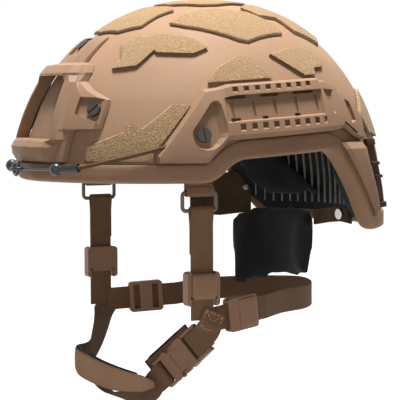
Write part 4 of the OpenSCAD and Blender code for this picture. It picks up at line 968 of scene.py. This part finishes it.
left_chin = [
    *chin_start(TOP_X, JUNCTION_LEFT_Z), (TOP_X + 0.0012, STRAP_Y + 0.005, JUNCTION_LEFT_Z - 0.0087),
    at_buckle(-0.042, 0, 0.0031), at_buckle(-0.038, 0, 0.0029), at_buckle(ARM_END_U + 0.002, 0, CHIN_WRAP),
    at_buckle(-0.030, 0, CHIN_WRAP), *round_bar(STRAP_BAR_U, CHIN_WRAP, 90),
    at_buckle(-0.030, 0, -CHIN_WRAP), at_buckle(ARM_END_U + 0.002, 0, -CHIN_WRAP),
    at_buckle(-0.039, 0, -0.0028)]
left_ways = [(0, 0.91, -0.41), (0, 0.91, -0.41), (0.12, 0.85, -0.51), (0.42, 0.6, -0.69), ACROSS_DIR]
strap("chin_web_left", "chin_strap_left", left_chin, left_ways, "root")


def bow_pt(angle, z, o):
    a = math.radians(angle)
    return Vector(((0.070 + o) * math.sin(a), -0.068 - (0.036 + o) * math.cos(a), z))


BAND_T = 0.002
right_off = -BAND_T - 0.0006 - WEB_T / 2
right_chin = [
    *chin_start(-TOP_X, JUNCTION_RIGHT_Z),
    (-TOP_X - 0.0006, STRAP_Y + 0.003, JUNCTION_RIGHT_Z - 0.011), (-0.098, -0.051, -0.125),
    (-0.088, -0.0575, -0.133), (-0.078, -0.065, -0.141), bow_pt(-80, -0.1465, right_off),
    bow_pt(-66, -0.1485, right_off)]
right_ways = [(0, 0.91, -0.41), (0, 0.91, -0.41), (-0.05, 0.85, -0.5), (-0.1, 0.7, -0.7),
              (-0.1, 0.5, -0.85), (0, 0.25, -0.95), (0, 0.05, -1)]
piece = strap("chin_web_right", "chin_strap_right", right_chin, right_ways, None, steps=6)
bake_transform(piece)

under = [at_buckle(0.019, 0, -PLY), at_buckle(0.015, 0, -PLY - 0.0004),
         *round_bar(END_BAR_U, END_WRAP, -90), at_buckle(0.015, 0, PLY + 0.0004), at_buckle(0.019, 0, PLY)]
under += [Vector(p) / 1000 for p in ((59, -74, -161), (46, -77, -168), (30, -80, -171.5), (10, -83, -172),
                                     (-15, -84, -168.5), (-38, -81, -163), (-52, -77, -157))]
under_ways = [ACROSS_DIR] * 11 + [Vector(v) for v in (
    (0.5, 0.5, -0.7), (0.35, 0.65, -0.65), (0.2, 0.8, -0.55), (0, 0.9, -0.35), (-0.15, 0.85, -0.45),
    (-0.35, 0.65, -0.65), (-0.4, 0.5, -0.75))]
strap("under_chin_web", "under_chin_strap", under, under_ways, "chin_half")

# The junctions and the tabs are sewn with thick thread: a box with a cross in
# it on each junction, and two rows across each tab.
thread = Finish("thread", (0.62, 0.4, 0.22), 0.7, 0.3)
thread.mottle(900, 2, 0.4, 0.7, (0.45, 0.27, 0.14))
thread.grain(2500, 0.00008, 0.6)
STITCH = 0.0023
STITCH_STEP = 0.0033
STITCH_R = 0.0004
STITCH_SIDES = 6
STITCH_SHAPE = ((0, 0.5), (0.2, 1), (0.8, 1), (1, 0.5))
BOX_HALF_L = 0.0065
BOX_HALF_W = 0.0075
TAB_ROW_HALF = 0.0095
TAB_ROWS_Z = (-0.0012, -0.0035)


def stitches(name, rows):
    """Rows of thread stitches, each row from one point to another."""
    stacks = []
    for a, b in rows:
        run = (b - a).normalized()
        side = run.cross(Vector((0.3, 0.2, 1))).normalized()
        up = run.cross(side)
        around = [side * math.cos(w) + up * math.sin(w)
                  for w in (math.radians(360 * j / STITCH_SIDES) for j in range(STITCH_SIDES))]
        count = max(1, int(((b - a).length - STITCH) / STITCH_STEP) + 1)
        for k in range(count):
            at = a + run * (k * STITCH_STEP)
            stacks.append([[at + run * (STITCH * s) + w * (STITCH_R * r) for w in around]
                           for s, r in STITCH_SHAPE])
    thread.on(solid(name, *stacked(stacks), "root"), "webbing_brown")


for side, flip in SIDES:
    low = JUNCTION_LEFT_Z if side == "left" else JUNCTION_RIGHT_Z
    rise = (TOP_X + WEB_T / 2 + 0.0002) * flip
    middle = Vector((rise, STRAP_Y + 0.0066, low - 0.0053))
    down = Vector((0.0004 * flip, -0.0049, -0.0109)).normalized()
    over = Vector((0, 0.91, -0.41)).normalized()
    corners = [middle + down * (a * BOX_HALF_L) + over * (b * BOX_HALF_W)
               for a, b in ((-1, -1), (-1, 1), (1, 1), (1, -1))]
    box = [(corners[k], corners[(k + 1) % 4]) for k in range(4)]
    stitches("junction_seam_" + side, box + [(corners[0], corners[2]), (corners[1], corners[3])])
    tab_x = (RING[0] + PLY + WEB_T / 2 + 0.0001) * flip
    ends = (RING[1] - TAB_ROW_HALF, RING[1] + TAB_ROW_HALF)
    stitches("tab_seam_" + side, [[Vector((tab_x, y, z)) for y in ends] for z in TAB_ROWS_Z])

# A cloth flap with a bound edge lies between the buckle and the cheek, so that
# nothing pinches or rubs. It is sewn to the chin cup's half.
FLAP_T = 0.002
BINDING_D = 0.0022
FLAP_HALF = 0.0125
FLAP_RUN = ((-0.026, -0.0085), (-0.012, -0.008), (0.004, -0.0066), (0.012, -0.005), (0.017, -0.0036))
flap = [at_buckle(u, -0.006, n) for u, n in FLAP_RUN]
strap("buckle_backing", "buckle_flap", flap, [ACROSS_DIR], "chin_half", 2 * FLAP_HALF, FLAP_T, steps=6)
binding = Finish("binding", (0.018, 0.014, 0.012), 0.8, 0.25)
binding.grain(1800, 0.0001, 0.7)
edge_run = [p + ACROSS_DIR * FLAP_HALF for p in flap] + [p - ACROSS_DIR * FLAP_HALF for p in reversed(flap)]
edge_run.append(edge_run[0] + (edge_run[0] - edge_run[1]).normalized() * 0.0001)
binding.on(tube("flap_binding", edge_run, BINDING_D, 8, "chin_half"), "foam_black")

# The buckle's socket is waisted, and open at its sides where the thumb and
# finger press the prongs. The ladder adjusters and sliders have a domed cover.
WAIST = [(-14.6, 13.5), (-12.4, 9.3), (-5.2, 9.3), (-2.6, 13.5)]
TIP = [(-2.4, 13.5), (1, 10.6), (1, 13.5)]
PANEL = [(-20, -8.6), (-6, -6.6), (-6, 6.6), (-20, 8.6)]
CUT_HALF = 6
PANEL_RISE = 3.9
PANEL_CLEAR = 7
socket_cuts = [[[(u, v * s, n) for u, v in outline] for n in (-CUT_HALF, CUT_HALF)]
               for s in (-1, 1) for outline in (WAIST, TIP)]
socket_cuts += [[level(PANEL, PANEL_RISE * s), level(PANEL, PANEL_CLEAR * s)] for s in (-1, 1)]
cutter = flat_solid("socket_cutter", socket_cuts)
for v in cutter.data.vertices:
    v.co = at_buckle(*v.co)
bm = carved(placed("socket_blank", NODE["buckle_socket"].data.copy()), cutter)
bmesh.ops.recalc_face_normals(bm, faces=bm.faces)
round_edges(bm, METAL_EDGE)
buckle_plastic.on(made_piece("buckle_socket_body", "buckle_socket", bm), "buckle_brown")
COVER_R = 0.003


def domed_cover(name, middle, along, over, out, length, width, base, height, body):
    """A pressed cover with round corners and a crowned face."""
    rings = []
    for rise, inset in ((base, 0), (height - 0.0012, 0), (height - 0.0004, 0.0005), (height, 0.0016),
                        (height + 0.0002, 0.004)):
        ring = []
        for k in range(24):
            a = math.radians(15 * k)
            radius = COVER_R - min(inset, COVER_R / 2)
            u = math.copysign(length / 2 - inset - radius, math.cos(a)) + radius * math.cos(a)
            v = math.copysign(width / 2 - inset - radius, math.sin(a)) + radius * math.sin(a)
            ring.append(middle + along * u + over * v + out * rise)
        rings.append(ring)
    piece = loft(name, rings, body=body)
    piece.data.set_sharp_from_angle(angle=math.radians(50))
    buckle_plastic.on(piece, "buckle_brown")


for side, flip in SIDES:
    low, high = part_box("adjuster_" + side)
    middle = Vector((RING[0] * flip, STRAP_Y, (low[2] + high[2]) / 2 + 0.002))
    outer = max(abs(low[0]), abs(high[0])) - RING[0]
    ways = (Vector((0, 0, 1)), Vector((0, 1, 0)), Vector((flip, 0, 0)))
    domed_cover("adjuster_cover_" + side, middle, *ways, 0.0185, WEB_W + 0.0012, outer - 0.0015,
                outer + 0.0011, "adjuster_" + side)
    way = SLIDER_DIR if side == "left" else RIGHT_DIR
    at = rear_run(REAR_LEFT if side == "left" else REAR_RIGHT, way, -0.012)
    over = Vector((way[1], -way[0], 0)).cross(way).normalized()
    out = way.cross(over)
    turned = [Vector((flip * p[0], p[1], p[2])) for p in (at + way * 0.0045, way, over, out)]
    domed_cover("slider_cover_" + side, *turned, 0.018, 0.0235, 0.002, 0.0048, "slider_" + side)

# The chin cup: a padded band of close-woven cloth with a bound edge, and a
# black foam lining sewn to its inside.
band_cloth = Finish("band_cloth", (0.8, 0.46, 0.285), 0.9, 0.2)
band_cloth.mottle(30, 3, 0.35, 0.7, (0.7, 0.4, 0.245))
woven(band_cloth, 0.0012, 0.0012, 0.0003, (0.4, 0.23, 0.135), 0.6)
black_foam = Finish("black_foam", (0.011, 0.0103, 0.0103), 0.85, 0.2, sheen=0.15)
black_foam.mottle(45, 4, 0.4, 0.75, (0.022, 0.02, 0.02))
black_foam.grain(1300, 0.0002, 0.8)
black_foam.grain(55, 0.0012, 0.5, 3)
BOW_CROWN = 0.003
BAND_AT = [-80, -40, 0, 33, 65, 80]
BAND_TOP = [-0.140, -0.1385, -0.139, -0.144, -0.149, -0.153]
BAND_LOW = [-0.154, -0.158, -0.160, -0.163, -0.162, -0.1585]


def bow(name, o, thick, ends, inset, round_by):
    """A band bent round the chin, from -ends to ends degrees."""
    rings = []
    shares = [k / 12 for k in range(13)]
    for k in range(81):
        t = -ends + 2 * ends * k / 80
        low = float(np.interp(t, BAND_AT, BAND_LOW)) + inset
        high = float(np.interp(t, BAND_AT, BAND_TOP)) - inset
        ring = []
        for s, depth, way in [(s, 0, -1) for s in shares] + [(s, thick, 1) for s in reversed(shares)]:
            round_off = way * round_by * max(0, 1 - 6 * min(s, 1 - s)) ** 2
            ring.append(bow_pt(t, low + (high - low) * s, o - depth + BOW_CROWN * s * (1 - s) + round_off))
        rings.append(ring)
    piece = loft(name, rings, body="chin_half")
    across = [s * 0.02 for s in shares] + [0.022 + (1 - s) * 0.02 for s in reversed(shares)]
    set_uv(piece, len(rings[0]), runs([ring[6] for ring in rings]), across)
    return piece


piece = bow("chin_cup", 0, BAND_T, 80, 0, 0.0006)
band_cloth.on(piece, "band_khaki", "chin_band")
piece = bow("chin_cup_lining", -BAND_T - SEAT, 0.003, 60, -0.0006, 0.0012)
black_foam.on(piece, "foam_black", "chin_lining")

# Foam pads in brushed black cloth. Each is sewn shut and then swells against
# its seam, so its faces crown and its sides draw in. One is cut on the slant.
PAD_VOXEL = 0.005
PAD_SHRINK = 0.0012
PAD_FRAMES = 20
PAD_PRESSURE = 4.0
PAD_SWELL = 0.002
SLANT_AT = Vector((-0.0511, 0.0897, 0.0230))
SLANT_OUT = Vector((0.2987, 0.6245, 0.7217))


def stuffed(name, node):
    """The node's pad as a swollen cushion."""
    bm = opened(NODE[node].data)
    bmesh.ops.remove_doubles(bm, verts=bm.verts, dist=0.00001)
    if node == "rear_pad_right":
        found = bmesh.ops.bisect_plane(bm, geom=bm.verts[:] + bm.edges[:] + bm.faces[:],
                                       plane_co=SLANT_AT, plane_no=SLANT_OUT, clear_outer=True)
        bmesh.ops.holes_fill(bm, edges=[e for e in found["geom_cut"] if isinstance(e, bmesh.types.BMEdge)])
    bmesh.ops.recalc_face_normals(bm, faces=bm.faces)
    for v in bm.verts:
        v.co -= v.normal * PAD_SHRINK
    mesh = bpy.data.meshes.new(name)
    bm.to_mesh(mesh)
    bm.free()
    piece = placed(name, mesh)
    bpy.context.view_layer.objects.active = piece
    remesh = piece.modifiers.new("even", "REMESH")
    remesh.mode = "VOXEL"
    remesh.voxel_size = PAD_VOXEL
    remesh.use_smooth_shade = True
    apply_all(piece)
    before = np.array([v.co for v in piece.data.vertices])
    cloth = piece.modifiers.new("swell", "CLOTH")
    cloth.settings.use_pressure = True
    cloth.settings.uniform_pressure_force = PAD_PRESSURE
    cloth.settings.effector_weights.gravity = 0
    cloth.point_cache.frame_start = 1
    cloth.point_cache.frame_end = PAD_FRAMES
    for k in range(1, PAD_FRAMES + 1):
        bpy.context.scene.frame_set(k)
    after = np.array([v.co for v in shown(piece).data.vertices])
    move = after - before
    far = np.linalg.norm(move, axis=1, keepdims=True)
    move *= np.minimum(1, PAD_SWELL / np.maximum(far, 1e-9))
    piece.modifiers.remove(cloth)
    for v, co in zip(piece.data.vertices, before + move):
        v.co = co
    bpy.context.scene.frame_set(1)
    smooth = piece.modifiers.new("ease", "SMOOTH")
    smooth.iterations = 2
    fine = piece.modifiers.new("fine", "SUBSURF")
    fine.levels = 1
    fine.render_levels = 1
    apply_all(piece)
    piece.data.shade_smooth()
    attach(piece, BODY_OF[node])
    black_foam.on(piece, "foam_black", node)


for node in ("front_pad", *pair("side_pad"), "crown_pad", *pair("rear_pad"), "nape_pad"):
    stuffed(node + "_cloth", node)

# The rear liner is a flexible black moulding with thin ribs up its inner
# face, and discs of hook tape hold the pads to the shell. The ribs' light
# grey is a painted highlight along their ridges.
liner_rubber = Finish("liner_rubber", (0.009, 0.0085, 0.008), 0.6, 0.2)
liner_rubber.grain(500, 0.0002, 0.5)
liner_rubber.on(worked("liner_sheet", "rear_liner", PART_EDGE, SKIN_CELL), "liner_black")
LINER_IN = 0.0207
RIB_HALF = 0.0005
RIB_RISE = 0.0016
RIB_FIRST = 76
RIB_GAP = 4.2
RIB_FOOT = 0.016
RIB_CELL = 0.005
# Painted highlight: the ribs are coloured light grey for the light on their ridges.
rib_painted_highlight = Finish("rib_painted_highlight", (0.34, 0.32, 0.30), 0.5, 0.4)
rib_painted_highlight.mottle(120, 2, 0.4, 0.7, (0.22, 0.21, 0.2))
for k in range(16):
    angle = RIB_FIRST + RIB_GAP * k
    rings = []
    for j in range(15):
        z = rim_z(angle) + RIB_FOOT + j * RIB_CELL
        p = ring_pt(angle, z, -LINER_IN)
        q = ring_pt(angle, z, -LINER_IN - RIB_RISE)
        side = (ring_pt(angle + 0.5, z, -LINER_IN) - p).normalized() * RIB_HALF
        rings.append([p - side, p + side, q + side * 0.6, q - side * 0.6])
    rib_painted_highlight.on(loft("liner_rib_%02d" % k, rings, smooth=False), "liner_black")
black_foam.on(worked("hook_tape", "pad_discs", METAL_EDGE), "foam_black")

# Leather tabs carry the nape pad. They are dark and smooth, with a cut edge,
# and a snap fastener holds each of them.
leather = Finish("leather", (0.055, 0.032, 0.016), 0.6, 0.12)
leather.mottle(60, 4, 0.35, 0.7, (0.085, 0.052, 0.027))
leather.bump(leather.cells(700, "SMOOTH_F1"), 0.00025, 0.6)
finished(pair("nape_tab"), leather, "leather_brown", MOULD_EDGE, suffix="_hide")

# Snap fasteners of bright plated brass close the tabs, pressed through the
# leather.
snap_plate = Finish("snap_plate", (0.62, 0.60, 0.56), 0.28, 0.5, metal=1)
snap_plate.on(worked("snap_caps", "snaps", METAL_EDGE), "snap_silver")

# Inside the shell, plated steel nuts close the screws of the shroud and of the
# side rails.
nut_plate = Finish("nut_plate", (0.45, 0.43, 0.40), 0.35, 0.5, metal=1)
finished(["shroud_nuts", "rail_nuts"], nut_plate, "nut_steel", METAL_EDGE)

bpy.context.view_layer.update()
